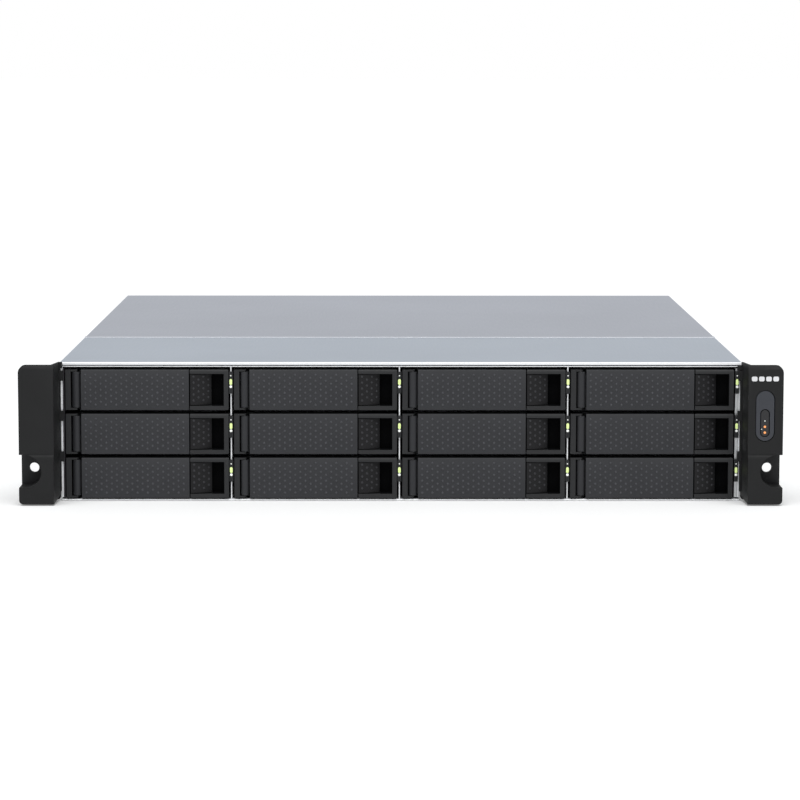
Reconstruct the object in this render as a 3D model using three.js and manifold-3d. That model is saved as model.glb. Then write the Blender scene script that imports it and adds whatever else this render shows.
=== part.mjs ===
// A two-unit rack storage unit for a 19 inch rack: twelve hot-swap drive trays in four columns and
// three rows, behind them a backplane, three fans, a mainboard and a power supply, in a sheet steel
// chassis with two moulded ears at the front.
//
// Millimetres. +X is the right of a person who faces the front, +Y runs from the front to the rear,
// +Z is up. The origin is the centre of the object's footprint, on the surface it rests on.

import * as THREE from "three";
import { mergeVertices } from "three/addons/utils/BufferGeometryUtils.js";
import Module from "manifold-3d";

const wasm = await Module();
wasm.setup();

// ---------------------------------------------------------------- driving dimensions

// The whole object.
const RACK_WIDTH = 482.6; // over both ears, the 19 inch panel width
const OBJECT_DEPTH = 534;
const CHASSIS_WIDTH = 432.6;
const CHASSIS_HEIGHT = 88.7;
const EAR_BOTTOM = 0.8;
const EAR_TOP = 88.9; // two rack units; the ears are 0.8 lower, the usual clearance
const EAR_STANDOFF = 22; // the ears' lower parts stand this far in front of the chassis
const FRONT_COVER_DEPTH = 164;

// Sheet steel and the gaps between pieces.
const SHEET = 0.9;
const GAP = 0.3;

// Drive bays.
const BAY_COLUMNS = 4;
const BAY_ROWS = 3;
const COLUMN_PITCH = 107.0;
const ROW_PITCH = 28.2;
const FIRST_TRAY_LEFT = -213.3;
const FIRST_TRAY_BOTTOM = 1.8;
const TRAY_WIDTH = 103.8;
const TRAY_HEIGHT = 25.7; // height of the tray's front
const TRAY_PROUD = 1.0; // the tray's face stands this far in front of the chassis
const TRAY_NOSE_DEPTH = 49; // from the face to the front end of the drive
const DRIVE_WIDTH = 101.6;
const DRIVE_HEIGHT = 26.1;
const DRIVE_LENGTH = 147;
const TRAY_INSET = 0.2; // the nose and the side rails stand this far inside the tray's sides
const TRAY_RIM = 2.6; // rim above and below the latch window
const WINDOW_POST_INSET = 1; // the rim right of the window is this much shorter at both ends
const BULKHEAD_START = 10; // depth at which the closed part of the tray begins
const RAIL = { bottom: 3, top: 22, end: TRAY_NOSE_DEPTH + DRIVE_LENGTH - 6 };

// Lever on the tray's front, hinged on a vertical pin at its left end.
const LEVER_PIVOT_X = 7.0;
const LEVER_PIVOT_DEPTH = 2.6;
const LEVER_BARREL_RADIUS = 2.4;
const HINGE_CHEEK = { left: 0.3, right: 3.6, front: 0.4 };
const HINGE_LUG = { left: 2, right: 8.1, thickness: 1.2 };
const LEVER_WEB = { front: 3.0, rear: 4.4, inset: 3 };
const LEVER_LEFT = 10.2;
const LEVER_RIGHT = 78.7;
const LEVER_THICKNESS = 5.5;

// Release latch: a ramp beside the lever, pressed in with a fingertip.
const LATCH_SECTION_LEFT = 79.3;
const LATCH_LEFT = 79.3;
const LATCH_RIGHT = 92.9;
const LATCH_RAMP_DROP = 3.9; // how much deeper the ramp is at its right end
const WINDOW_RIGHT = 100.9;

// Ears: a moulded cover over a flat flange, which is a little wider than the cover.
const EAR_COVER_OUTER = 240.7;
const EAR_FACE_INNER = 218.8; // half-width at which the front face ends
const EAR_SIDE_INNER = CHASSIS_WIDTH / 2 + GAP;
const EAR_BODY_DEPTH = 24;
const EAR_FLANGE_THICKNESS = 3;
const EAR_TOP_CHAMFER = { drop: 3, depth: 2 };
const EAR_TOP_SLOPE = 4; // behind the chamfer the top falls this much towards the flange
const EAR_SLOPE_INSET = 1.5; // the slope begins this far outside the face's inner edge
const EAR_TOP_RADIUS = 5;
const EAR_BOTTOM_RADIUS = 2;
const EAR_INNER_CHAMFER = 4.5;
const EAR_LUG = { bottom: 6, top: 80, thickness: 1.6, length: 38 };
const RACK_HOLE_X = 233.2; // the rack's holes are 465.1 mm apart, the cage nuts float
const RACK_HOLE_Z = 21.4;
const RACK_HOLE_RADIUS = 3.1;
const SCREW_POCKET_RADIUS = 10.4;
const SCREW_POCKET_X = 236.9;
const SCREW_POCKET_Z = 21.6;
const SCREW_POCKET_DEPTH = EAR_BODY_DEPTH - EAR_FLANGE_THICKNESS;
const EAR_FACE_SETBACK = 1.5; // the ear's upper face lies this far behind its lower part
const EAR_LIP_TOP = SCREW_POCKET_Z + SCREW_POCKET_RADIUS;
const EAR_LIP_ROUND = 4.6; // height over which the lower part's upper edge is rounded

// Power button and status window, both pill-shaped, in the right ear.
const PILL_X = 229.3;
const PILL_WIDTH = 11.7;
const PILL_BOTTOM = 40.8;
const PILL_TOP = 72.8;
const PILL_POCKET_DEPTH = 4.5;
const WINDOW_PILL_WIDTH = 5.4;
const WINDOW_PILL_BOTTOM = 43.6;
const WINDOW_PILL_TOP = 60.8;
const BUTTON_THICKNESS = 2.4;

// Backplane, with a slot for the air behind each bay.
const BACKPLANE_THICKNESS = 1.6;
const AIR_SLOT = { left: 56, bottom: 5, width: 40, height: 14 }; // from the tray's lower left
const BACKPLANE_MARGIN = 2;

// Fans behind the backplane.
const FAN_CENTRES_X = [-140, 0, 140];
const FAN_SIZE = 80;
const FAN_DEPTH = 32;
const FAN_BORE_RADIUS = 38;
const FAN_HUB_RADIUS = 16;
const FAN_STRUT = { width: 3, depth: 3 };
const FAN_ROTOR = { front: 6, rear: 28, blades: 7, reach: 22, chord: 20, thickness: 1.8, pitch: 38 };
const FAN_CENTRE_Z = 43;

// Mainboard, its heat sink and its rear connectors.
const BOARD = { left: -205, right: 105, front: 22, rear: 262, bottom: 6, thickness: 1.6 };
const STAND_OFF = { radius: 3, inset: 8, rearInset: 30 };
const HEATSINK = { left: -110, right: -30, front: 95, rear: 175, height: 50, base: 6 };
const FIN = { count: 17, thickness: 1.2 };
const PORTS = { left: -190, right: -52, depth: 24, height: 29 };

// Power supply at the rear right.
const SUPPLY = { left: 127, right: 214.6, front: 86, bottom: 1.5, top: 82 };
const INLET = { x: 150, z: 24, width: 27, height: 20, depth: 15 };
const SUPPLY_CUT_MARGIN = 4; // the rear panel covers this much of the supply's rear face all round

// ---------------------------------------------------------------- derived places

const EAR_FRONT_Y = -OBJECT_DEPTH / 2;
const EAR_FACE_Y = EAR_FRONT_Y + EAR_FACE_SETBACK;
const CHASSIS_FRONT_Y = EAR_FRONT_Y + EAR_STANDOFF;
const REAR_Y = OBJECT_DEPTH / 2;
const HALF_CHASSIS = CHASSIS_WIDTH / 2;
const INNER_HALF = HALF_CHASSIS - SHEET;
const COVER_UNDERSIDE = CHASSIS_HEIGHT - SHEET;
const WALL_TOP = COVER_UNDERSIDE - GAP;
const LIP_BOTTOM = CHASSIS_HEIGHT - 3;
const LIP_THICKNESS = 1.2;
const SEAM_Y = CHASSIS_FRONT_Y + FRONT_COVER_DEPTH;
const TRAY_FACE_Y = CHASSIS_FRONT_Y - TRAY_PROUD;
const TRAY_LENGTH = TRAY_NOSE_DEPTH + DRIVE_LENGTH;
const BACKPLANE_Y = TRAY_FACE_Y + TRAY_LENGTH + 3;
const FAN_Y = BACKPLANE_Y + BACKPLANE_THICKNESS + 8;
const REAR_PANEL_Y = REAR_Y - 1.4;

// ---------------------------------------------------------------- materials

function material(color, roughness, metalness) {
  return new THREE.MeshStandardMaterial({ color, roughness, metalness });
}

const MATERIALS = {
  coverSteel: material(0xb4b9c2, 0.45, 0.6),
  zincSteel: material(0xc4c7c9, 0.4, 0.9),
  darkPlastic: material(0x2e2f33, 0.6, 0.0),
  leverPlastic: material(0x37383d, 0.65, 0.0),
  latchPlastic: material(0x2a2b2f, 0.7, 0.0),
  buttonPlastic: material(0x4c4d53, 0.5, 0.0),
  windowPlastic: material(0x1c1d1f, 0.15, 0.0),
  boardGreen: material(0x1f5a35, 0.5, 0.0),
  fanPlastic: material(0x161616, 0.55, 0.0),
  heatsinkAluminium: material(0xbfc3c7, 0.35, 1.0),
  connectorMetal: material(0xa9abad, 0.35, 1.0),
};

// ---------------------------------------------------------------- solids

// A three.js geometry as a manifold solid, for cutting and joining.
function solid(geometry) {
  const bare = geometry.clone();
  bare.deleteAttribute("normal");
  bare.deleteAttribute("uv");
  const merged = mergeVertices(bare, 1e-4);
  return new wasm.Manifold(
    new wasm.Mesh({
      numProp: 3,
      vertProperties: merged.attributes.position.array,
      triVerts: new Uint32Array(merged.index.array),
    }),
  );
}

// A manifold solid back as a three.js geometry with flat normals.
function geometryOf(manifold) {
  const mesh = manifold.getMesh();
  const indexed = new THREE.BufferGeometry();
  indexed.setAttribute("position", new THREE.BufferAttribute(mesh.vertProperties, 3));
  indexed.setIndex(new THREE.BufferAttribute(mesh.triVerts, 1));
  const geometry = indexed.toNonIndexed();
  geometry.computeVertexNormals();
  return geometry;
}

function union(parts) {
  return parts.reduce((sum, part) => sum.add(part));
}

// A box between two opposite corners.
function box(low, high) {
  const size = high.map((value, axis) => value - low[axis]);
  const geometry = new THREE.BoxGeometry(...size);
  geometry.translate(low[0] + size[0] / 2, low[1] + size[1] / 2, low[2] + size[2] / 2);
  return solid(geometry);
}

// A vertical cylinder.
function post(x, y, radius, bottom, top, sides) {
  const geometry = new THREE.CylinderGeometry(radius, radius, top - bottom, sides);
  geometry.rotateX(Math.PI / 2);
  geometry.translate(x, y, (bottom + top) / 2);
  return solid(geometry);
}

// A cylinder along Y.
function roundAlongY(x, z, radius, front, rear, sides) {
  const geometry = new THREE.CylinderGeometry(radius, radius, rear - front, sides);
  geometry.translate(x, (front + rear) / 2, z);
  return solid(geometry);
}

// An outline in plan, given as [x, y] points, raised from bottom to top.
function planPrism(points, bottom, top) {
  const shape = new THREE.Shape(points.map(([x, y]) => new THREE.Vector2(x, y)));
  const geometry = new THREE.ExtrudeGeometry(shape, { depth: top - bottom, bevelEnabled: false });
  geometry.translate(0, 0, bottom);
  return solid(geometry);
}

// A shape drawn in X and Z as seen from the front, carried from front to rear.
function frontPrism(shape, front, rear, curveSegments = 8) {
  const options = { depth: rear - front, bevelEnabled: false, curveSegments };
  const geometry = new THREE.ExtrudeGeometry(shape, options);
  geometry.rotateX(Math.PI / 2);
  geometry.translate(0, rear, 0);
  return solid(geometry);
}

// An upright pill outline in X and Z.
function pillShape(centreX, width, bottom, top) {
  const radius = width / 2;
  const shape = new THREE.Shape();
  shape.moveTo(centreX + radius, bottom + radius);
  shape.lineTo(centreX + radius, top - radius);
  shape.absarc(centreX, top - radius, radius, 0, Math.PI, false);
  shape.lineTo(centreX - radius, bottom + radius);
  shape.absarc(centreX, bottom + radius, radius, Math.PI, 2 * Math.PI, false);
  return shape;
}

// ---------------------------------------------------------------- the assembly

const unit = new THREE.Group();

function addNode(name, manifold, nodeMaterial, parent = unit, position = [0, 0, 0]) {
  const mesh = new THREE.Mesh(geometryOf(manifold), nodeMaterial);
  mesh.name = name;
  mesh.position.set(...position);
  parent.add(mesh);
}

// ---------------------------------------------------------------- chassis

function basePan() {
  return box([-HALF_CHASSIS, CHASSIS_FRONT_Y, 0], [HALF_CHASSIS, REAR_Y, SHEET]);
}

// A side wall: full height behind the cover's front lip, lower under it.
function sideWall(side) {
  const inner = side > 0 ? INNER_HALF : -HALF_CHASSIS;
  const outer = inner + SHEET;
  const underLip = LIP_BOTTOM - GAP;
  const behindLip = CHASSIS_FRONT_Y + LIP_THICKNESS + GAP;
  const low = box([inner, CHASSIS_FRONT_Y + GAP, SHEET + GAP], [outer, REAR_Y, underLip]);
  const high = box([inner, behindLip, underLip - 1], [outer, REAR_Y, WALL_TOP]);
  return low.add(high);
}

function frontCover() {
  const top = CHASSIS_HEIGHT;
  const plate = box([-HALF_CHASSIS, CHASSIS_FRONT_Y, COVER_UNDERSIDE], [HALF_CHASSIS, SEAM_Y, top]);
  const lipRear = CHASSIS_FRONT_Y + LIP_THICKNESS;
  const lip = box([-HALF_CHASSIS, CHASSIS_FRONT_Y, LIP_BOTTOM], [HALF_CHASSIS, lipRear, top]);
  return plate.add(lip);
}

function rearCover() {
  return box([-HALF_CHASSIS, SEAM_Y + GAP, COVER_UNDERSIDE], [HALF_CHASSIS, REAR_Y, CHASSIS_HEIGHT]);
}

// An upright sheet between two columns of bays.
function bayDivider(index) {
  const centre = FIRST_TRAY_LEFT + (index + 1) * COLUMN_PITCH - (COLUMN_PITCH - TRAY_WIDTH) / 2;
  const front = CHASSIS_FRONT_Y + GAP;
  const low = [centre - SHEET / 2, front, SHEET + GAP];
  return box(low, [centre + SHEET / 2, BACKPLANE_Y - GAP, LIP_BOTTOM - GAP]);
}

// The rear panel, cut out for the connectors and for the power supply's rear face.
function rearPanel() {
  const bottom = SHEET + GAP;
  const panel = box([-INNER_HALF + GAP, REAR_PANEL_Y, bottom], [INNER_HALF - GAP, REAR_Y - GAP, WALL_TOP]);
  const portsTop = BOARD.bottom + BOARD.thickness + GAP + PORTS.height;
  const portsCut = box(
    [PORTS.left - 1, REAR_PANEL_Y - 1, BOARD.bottom],
    [PORTS.right + 1, REAR_Y, portsTop + 1],
  );
  const supplyCut = box(
    [SUPPLY.left + SUPPLY_CUT_MARGIN, REAR_PANEL_Y - 1, SUPPLY.bottom + SUPPLY_CUT_MARGIN],
    [SUPPLY.right - SUPPLY_CUT_MARGIN, REAR_Y, SUPPLY.top - SUPPLY_CUT_MARGIN],
  );
  return panel.subtract(portsCut).subtract(supplyCut);
}

addNode("base_pan", basePan(), MATERIALS.zincSteel);
addNode("left_side_wall", sideWall(-1), MATERIALS.zincSteel);
addNode("right_side_wall", sideWall(1), MATERIALS.zincSteel);
addNode("front_top_cover", frontCover(), MATERIALS.coverSteel);
addNode("rear_top_cover", rearCover(), MATERIALS.coverSteel);
addNode("rear_panel", rearPanel(), MATERIALS.zincSteel);
for (let index = 0; index < BAY_COLUMNS - 1; index += 1) {
  addNode(`bay_divider_${index + 1}`, bayDivider(index), MATERIALS.zincSteel);
}

// ---------------------------------------------------------------- drive trays
// Each piece is drawn with X from the tray's left edge, Y from its face and Z from its bottom.

// The carrier with its drive: nose, drive with side rails, hinge cheek and lugs, and the frame of
// the latch window, which is open towards the lever.
function tray() {
  const right = TRAY_WIDTH;
  const top = TRAY_HEIGHT;
  const inner = right - TRAY_INSET;
  const driveLeft = (TRAY_WIDTH - DRIVE_WIDTH) / 2;
  const driveRight = driveLeft + DRIVE_WIDTH;
  const joined = BULKHEAD_START + 1; // every front piece reaches into the bulkhead
  const cheek = HINGE_CHEEK;
  const lug = HINGE_LUG;
  const section = LATCH_SECTION_LEFT;
  const postBottom = WINDOW_POST_INSET;
  return union([
    box([TRAY_INSET, BULKHEAD_START, 0], [inner, TRAY_NOSE_DEPTH + 1, top]),
    box([TRAY_INSET, TRAY_NOSE_DEPTH, RAIL.bottom], [inner, RAIL.end, RAIL.top]),
    box([driveLeft, TRAY_NOSE_DEPTH, 0], [driveRight, TRAY_LENGTH, DRIVE_HEIGHT]),
    box([cheek.left, cheek.front, 0], [cheek.right, joined, top]),
    box([lug.left, cheek.front, 0], [lug.right, joined, lug.thickness]),
    box([lug.left, cheek.front, top - lug.thickness], [lug.right, joined, top]),
    box([section, 0, 0], [right, joined, TRAY_RIM]),
    box([section, 0, top - TRAY_RIM], [right, joined, top]),
    box([WINDOW_RIGHT, 0, postBottom], [right, joined, top - postBottom]),
  ]);
}

function lever() {
  const bottom = HINGE_LUG.thickness + GAP;
  const top = TRAY_HEIGHT - bottom;
  const web = LEVER_WEB;
  return union([
    post(LEVER_PIVOT_X, LEVER_PIVOT_DEPTH, LEVER_BARREL_RADIUS, bottom, top, 20),
    box([LEVER_PIVOT_X, web.front, web.inset], [LEVER_LEFT + 1, web.rear, TRAY_HEIGHT - web.inset]),
    box([LEVER_LEFT, 0, 0], [LEVER_RIGHT, LEVER_THICKNESS, TRAY_HEIGHT]),
  ]);
}

// A ramp that runs deeper towards the finger recess, turning on its left edge.
function latch() {
  const rampFront = 0.3;
  const thickness = 2;
  const deepest = rampFront + LATCH_RAMP_DROP;
  const outline = [
    [LATCH_LEFT, rampFront + 0.2],
    [LATCH_LEFT + 1.2, rampFront],
    [LATCH_RIGHT, deepest],
    [LATCH_RIGHT, deepest + thickness],
    [LATCH_LEFT + 0.4, rampFront + thickness + 0.3],
  ];
  return planPrism(outline, TRAY_RIM + GAP, TRAY_HEIGHT - TRAY_RIM - GAP);
}

function addBays() {
  for (let row = 0; row < BAY_ROWS; row += 1) {
    for (let column = 0; column < BAY_COLUMNS; column += 1) {
      const number = row * BAY_COLUMNS + column + 1;
      const bay = new THREE.Group();
      const bottom = FIRST_TRAY_BOTTOM + (BAY_ROWS - 1 - row) * ROW_PITCH;
      bay.position.set(FIRST_TRAY_LEFT + column * COLUMN_PITCH, TRAY_FACE_Y, bottom);
      unit.add(bay);
      addNode(`tray_${number}`, tray(), MATERIALS.darkPlastic, bay);
      addNode(`tray_lever_${number}`, lever(), MATERIALS.leverPlastic, bay);
      addNode(`tray_latch_${number}`, latch(), MATERIALS.latchPlastic, bay);
    }
  }
}

addBays();

// ---------------------------------------------------------------- ears
// Drawn for the right side, then mirrored for the left.

function earPlan() {
  const flangeRear = EAR_FRONT_Y + EAR_BODY_DEPTH;
  const flangeFront = flangeRear - EAR_FLANGE_THICKNESS;
  const lugRear = flangeRear + EAR_LUG.length;
  return [
    [EAR_FACE_INNER, EAR_FRONT_Y],
    [EAR_COVER_OUTER, EAR_FRONT_Y],
    [EAR_COVER_OUTER, flangeFront],
    [RACK_WIDTH / 2, flangeFront],
    [RACK_WIDTH / 2, flangeRear],
    [EAR_SIDE_INNER + EAR_LUG.thickness, flangeRear],
    [EAR_SIDE_INNER + EAR_LUG.thickness, lugRear],
    [EAR_SIDE_INNER, lugRear],
    [EAR_SIDE_INNER, CHASSIS_FRONT_Y],
  ];
}

// The ear as seen from the front: round outer corners and a chamfer at the inner bottom corner.
function earFrontShape() {
  const outer = RACK_WIDTH / 2;
  const inner = EAR_SIDE_INNER - 1;
  const bottomX = outer - EAR_BOTTOM_RADIUS;
  const bottomZ = EAR_BOTTOM + EAR_BOTTOM_RADIUS;
  const topX = outer - EAR_TOP_RADIUS;
  const topZ = EAR_TOP - EAR_TOP_RADIUS;
  const shape = new THREE.Shape();
  shape.moveTo(EAR_FACE_INNER, EAR_BOTTOM);
  shape.lineTo(bottomX, EAR_BOTTOM);
  shape.absarc(bottomX, bottomZ, EAR_BOTTOM_RADIUS, -Math.PI / 2, 0, false);
  shape.lineTo(outer, topZ);
  shape.absarc(topX, topZ, EAR_TOP_RADIUS, 0, Math.PI / 2, false);
  shape.lineTo(inner, EAR_TOP);
  shape.lineTo(inner, EAR_BOTTOM + EAR_INNER_CHAMFER);
  return shape;
}

// An outline in Y and Z, given as [y, z] points, carried from one X to another.
function sidePrism(points, left, right) {
  const shape = new THREE.Shape(points.map(([y, z]) => new THREE.Vector2(y, z)));
  const geometry = new THREE.ExtrudeGeometry(shape, { depth: right - left, bevelEnabled: false });
  const turn = new THREE.Matrix4().makeBasis(
    new THREE.Vector3(0, 1, 0),
    new THREE.Vector3(0, 0, 1),
    new THREE.Vector3(1, 0, 0),
  );
  geometry.applyMatrix4(turn);
  geometry.translate(left, 0, 0);
  return solid(geometry);
}

// What is cut off the cover: all that is in front of its upper face, down to the rounded lip of the
// lower part, then the chamfer along the top and the slope behind it.
function earFrontCuts() {
  const left = EAR_SIDE_INNER - 1;
  const right = RACK_WIDTH / 2 + 1;
  const before = EAR_FRONT_Y - 1;
  const behind = EAR_FRONT_Y + EAR_BODY_DEPTH + 1;
  const over = EAR_TOP + 1;
  const faceCut = [
    [before, over],
    [before, EAR_LIP_TOP - EAR_LIP_ROUND],
  ];
  const steps = 8;
  for (let step = 0; step <= steps; step += 1) {
    const turn = ((step / steps) * Math.PI) / 2;
    const depth = EAR_FACE_SETBACK * (1 - Math.cos(turn));
    faceCut.push([EAR_FRONT_Y + depth, EAR_LIP_TOP - EAR_LIP_ROUND * (1 - Math.sin(turn))]);
  }
  faceCut.push([EAR_FACE_Y, over]);
  const chamferRear = EAR_FACE_Y + EAR_TOP_CHAMFER.depth;
  const steepness = EAR_TOP_CHAMFER.drop / EAR_TOP_CHAMFER.depth;
  const chamfer = [
    [EAR_FACE_Y - 1, EAR_TOP - EAR_TOP_CHAMFER.drop - steepness],
    [chamferRear + 1 / steepness, over],
    [EAR_FACE_Y - 1, over],
  ];
  const flangeTop = EAR_TOP - EAR_TOP_SLOPE;
  const slope = [
    [chamferRear, EAR_TOP],
    [EAR_FRONT_Y + SCREW_POCKET_DEPTH, flangeTop],
    [behind, flangeTop],
    [behind, over],
    [chamferRear, over],
  ];
  return union([
    sidePrism(faceCut, left, right),
    sidePrism(chamfer, left, right),
    sidePrism(slope, EAR_FACE_INNER + EAR_SLOPE_INSET, right),
  ]);
}

// The round-ended pocket for the rack screw's head, open towards the outer edge.
function screwPocket() {
  const front = EAR_FRONT_Y - 1;
  const rear = EAR_FRONT_Y + SCREW_POCKET_DEPTH;
  const round = roundAlongY(SCREW_POCKET_X, SCREW_POCKET_Z, SCREW_POCKET_RADIUS, front, rear, 40);
  const open = box(
    [SCREW_POCKET_X, front, SCREW_POCKET_Z - SCREW_POCKET_RADIUS],
    [RACK_WIDTH / 2 + 1, rear, SCREW_POCKET_Z + SCREW_POCKET_RADIUS],
  );
  return round.add(open);
}

function plainEar() {
  const left = EAR_SIDE_INNER - 1;
  const right = RACK_WIDTH / 2;
  const behind = EAR_FRONT_Y + EAR_BODY_DEPTH;
  const far = behind + EAR_LUG.length + 1;
  const over = EAR_TOP + 1;
  const hole = roundAlongY(RACK_HOLE_X, RACK_HOLE_Z, RACK_HOLE_RADIUS, EAR_FRONT_Y, behind + 1, 24);
  const underLug = box([left, behind, -1], [right, far, EAR_LUG.bottom]);
  const overLug = box([left, behind, EAR_LUG.top], [right, far, over]);
  return planPrism(earPlan(), -1, over)
    .intersect(frontPrism(earFrontShape(), EAR_FRONT_Y - 1, far))
    .subtract(earFrontCuts())
    .subtract(screwPocket())
    .subtract(hole)
    .subtract(underLug)
    .subtract(overLug);
}

function rightEar() {
  const pocket = pillShape(PILL_X, PILL_WIDTH + 2 * GAP, PILL_BOTTOM - GAP, PILL_TOP + GAP);
  return plainEar().subtract(frontPrism(pocket, EAR_FRONT_Y - 1, EAR_FACE_Y + PILL_POCKET_DEPTH));
}

function powerButton() {
  const front = EAR_FACE_Y + 0.2;
  const plate = frontPrism(
    pillShape(PILL_X, PILL_WIDTH, PILL_BOTTOM, PILL_TOP),
    front,
    front + BUTTON_THICKNESS,
  );
  const slot = pillShape(
    PILL_X,
    WINDOW_PILL_WIDTH + 2 * GAP,
    WINDOW_PILL_BOTTOM - GAP,
    WINDOW_PILL_TOP + GAP,
  );
  return plate.subtract(frontPrism(slot, front - 1, front + BUTTON_THICKNESS + 1));
}

function statusWindow() {
  const shape = pillShape(PILL_X, WINDOW_PILL_WIDTH, WINDOW_PILL_BOTTOM, WINDOW_PILL_TOP);
  return frontPrism(shape, EAR_FACE_Y + 0.8, EAR_FACE_Y + PILL_POCKET_DEPTH - GAP);
}

addNode("left_ear", plainEar().mirror([1, 0, 0]), MATERIALS.darkPlastic);
addNode("right_ear", rightEar(), MATERIALS.darkPlastic);
addNode("power_button", powerButton(), MATERIALS.buttonPlastic);
addNode("status_window", statusWindow(), MATERIALS.windowPlastic);

// ---------------------------------------------------------------- backplane

// The board that the drives plug into, with a slot behind each bay for the air.
function backplane() {
  const rear = BACKPLANE_Y + BACKPLANE_THICKNESS;
  const half = INNER_HALF - BACKPLANE_MARGIN;
  let board = box([-half, BACKPLANE_Y, SHEET + GAP], [half, rear, LIP_BOTTOM - GAP]);
  for (let row = 0; row < BAY_ROWS; row += 1) {
    for (let column = 0; column < BAY_COLUMNS; column += 1) {
      const left = FIRST_TRAY_LEFT + column * COLUMN_PITCH + AIR_SLOT.left;
      const bottom = FIRST_TRAY_BOTTOM + row * ROW_PITCH + AIR_SLOT.bottom;
      const high = [left + AIR_SLOT.width, rear + 1, bottom + AIR_SLOT.height];
      board = board.subtract(box([left, BACKPLANE_Y - 1, bottom], high));
    }
  }
  return board;
}

addNode("backplane", backplane(), MATERIALS.boardGreen);

// ---------------------------------------------------------------- fans

// The square frame, with four struts and a hub plate at its rear.
function fanFrame() {
  const half = FAN_SIZE / 2;
  const rearPlate = FAN_DEPTH - FAN_STRUT.depth;
  const reach = FAN_BORE_RADIUS + 1;
  const halfStrut = FAN_STRUT.width / 2;
  const ring = box([-half, 0, -half], [half, FAN_DEPTH, half]).subtract(
    roundAlongY(0, 0, FAN_BORE_RADIUS, -1, FAN_DEPTH + 1, 40),
  );
  const strutX = box([-reach, rearPlate, -halfStrut], [reach, FAN_DEPTH, halfStrut]);
  const strutZ = box([-halfStrut, rearPlate, -reach], [halfStrut, FAN_DEPTH, reach]);
  return union([ring, strutX, strutZ, roundAlongY(0, 0, FAN_HUB_RADIUS, rearPlate, FAN_DEPTH, 24)]);
}

function fanRotor() {
  const { front, rear, blades, reach, chord, thickness } = FAN_ROTOR;
  const pitch = THREE.MathUtils.degToRad(FAN_ROTOR.pitch);
  const pieces = [roundAlongY(0, 0, FAN_HUB_RADIUS, front, rear, 24)];
  for (let index = 0; index < blades; index += 1) {
    const blade = new THREE.BoxGeometry(reach, chord, thickness);
    blade.rotateX(pitch);
    blade.translate(FAN_HUB_RADIUS - 2 + reach / 2, (front + rear) / 2, 0);
    blade.rotateY((index / blades) * 2 * Math.PI);
    pieces.push(solid(blade));
  }
  return union(pieces);
}

FAN_CENTRES_X.forEach((x, index) => {
  const place = [x, FAN_Y, FAN_CENTRE_Z];
  addNode(`fan_frame_${index + 1}`, fanFrame(), MATERIALS.fanPlastic, unit, place);
  addNode(`fan_rotor_${index + 1}`, fanRotor(), MATERIALS.fanPlastic, unit, place);
});

// ---------------------------------------------------------------- mainboard

const BOARD_TOP = BOARD.bottom + BOARD.thickness;

// The board on six stand-offs.
function mainboard() {
  const plate = box([BOARD.left, BOARD.front, BOARD.bottom], [BOARD.right, BOARD.rear, BOARD_TOP]);
  const posts = [];
  const middle = (BOARD.left + BOARD.right) / 2;
  for (const x of [BOARD.left + STAND_OFF.inset, middle, BOARD.right - STAND_OFF.inset]) {
    for (const y of [BOARD.front + STAND_OFF.inset, BOARD.rear - STAND_OFF.rearInset]) {
      posts.push(post(x, y, STAND_OFF.radius, SHEET + GAP, BOARD.bottom + 0.5, 12));
    }
  }
  return union([plate, ...posts]);
}

function heatsink() {
  const { left, right, front, rear, base } = HEATSINK;
  const bottom = BOARD_TOP + GAP;
  const top = bottom + HEATSINK.height;
  const step = (right - left - FIN.thickness) / (FIN.count - 1);
  const pieces = [box([left, front, bottom], [right, rear, bottom + base])];
  for (let index = 0; index < FIN.count; index += 1) {
    const finLeft = left + index * step;
    pieces.push(box([finLeft, front, bottom + base - 1], [finLeft + FIN.thickness, rear, top]));
  }
  return union(pieces);
}

// The connector block at the board's rear edge: four network sockets and four serial bus sockets.
const SOCKET_FLOOR = 3; // wall under the sockets
const NETWORK_SOCKET = { width: 13, height: 11, depth: 15, pitch: 18, first: PORTS.left + 12 };
const BUS_SOCKET = { width: 13.5, height: 6, depth: 14, pitch: 20, rise: 11, first: PORTS.left + 92 };

function rearPorts() {
  const bottom = BOARD_TOP + GAP;
  const front = REAR_Y - GAP - PORTS.depth;
  const rear = REAR_Y - 0.1;
  let block = box([PORTS.left, front, bottom], [PORTS.right, rear, bottom + PORTS.height]);
  for (let index = 0; index < 4; index += 1) {
    const left = NETWORK_SOCKET.first + index * NETWORK_SOCKET.pitch;
    const floor = bottom + SOCKET_FLOOR;
    const low = [left, rear - NETWORK_SOCKET.depth, floor];
    const high = [left + NETWORK_SOCKET.width, rear + 1, floor + NETWORK_SOCKET.height];
    block = block.subtract(box(low, high));
  }
  for (let column = 0; column < 2; column += 1) {
    for (let level = 0; level < 2; level += 1) {
      const left = BUS_SOCKET.first + column * BUS_SOCKET.pitch;
      const floor = bottom + SOCKET_FLOOR + level * BUS_SOCKET.rise;
      const low = [left, rear - BUS_SOCKET.depth, floor];
      block = block.subtract(
        box(low, [left + BUS_SOCKET.width, rear + 1, floor + BUS_SOCKET.height]),
      );
    }
  }
  return block;
}

addNode("mainboard", mainboard(), MATERIALS.boardGreen);
addNode("cpu_heatsink", heatsink(), MATERIALS.heatsinkAluminium);
addNode("rear_ports", rearPorts(), MATERIALS.connectorMetal);

// ---------------------------------------------------------------- power supply

function powerSupply() {
  const rear = REAR_PANEL_Y - GAP;
  const body = box([SUPPLY.left, SUPPLY.front, SUPPLY.bottom], [SUPPLY.right, rear, SUPPLY.top]);
  const inlet = box(
    [INLET.x - INLET.width / 2, rear - INLET.depth, INLET.z - INLET.height / 2],
    [INLET.x + INLET.width / 2, rear + 1, INLET.z + INLET.height / 2],
  );
  return body.subtract(inlet);
}

addNode("power_supply", powerSupply(), MATERIALS.zincSteel);

export default unit;
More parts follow.
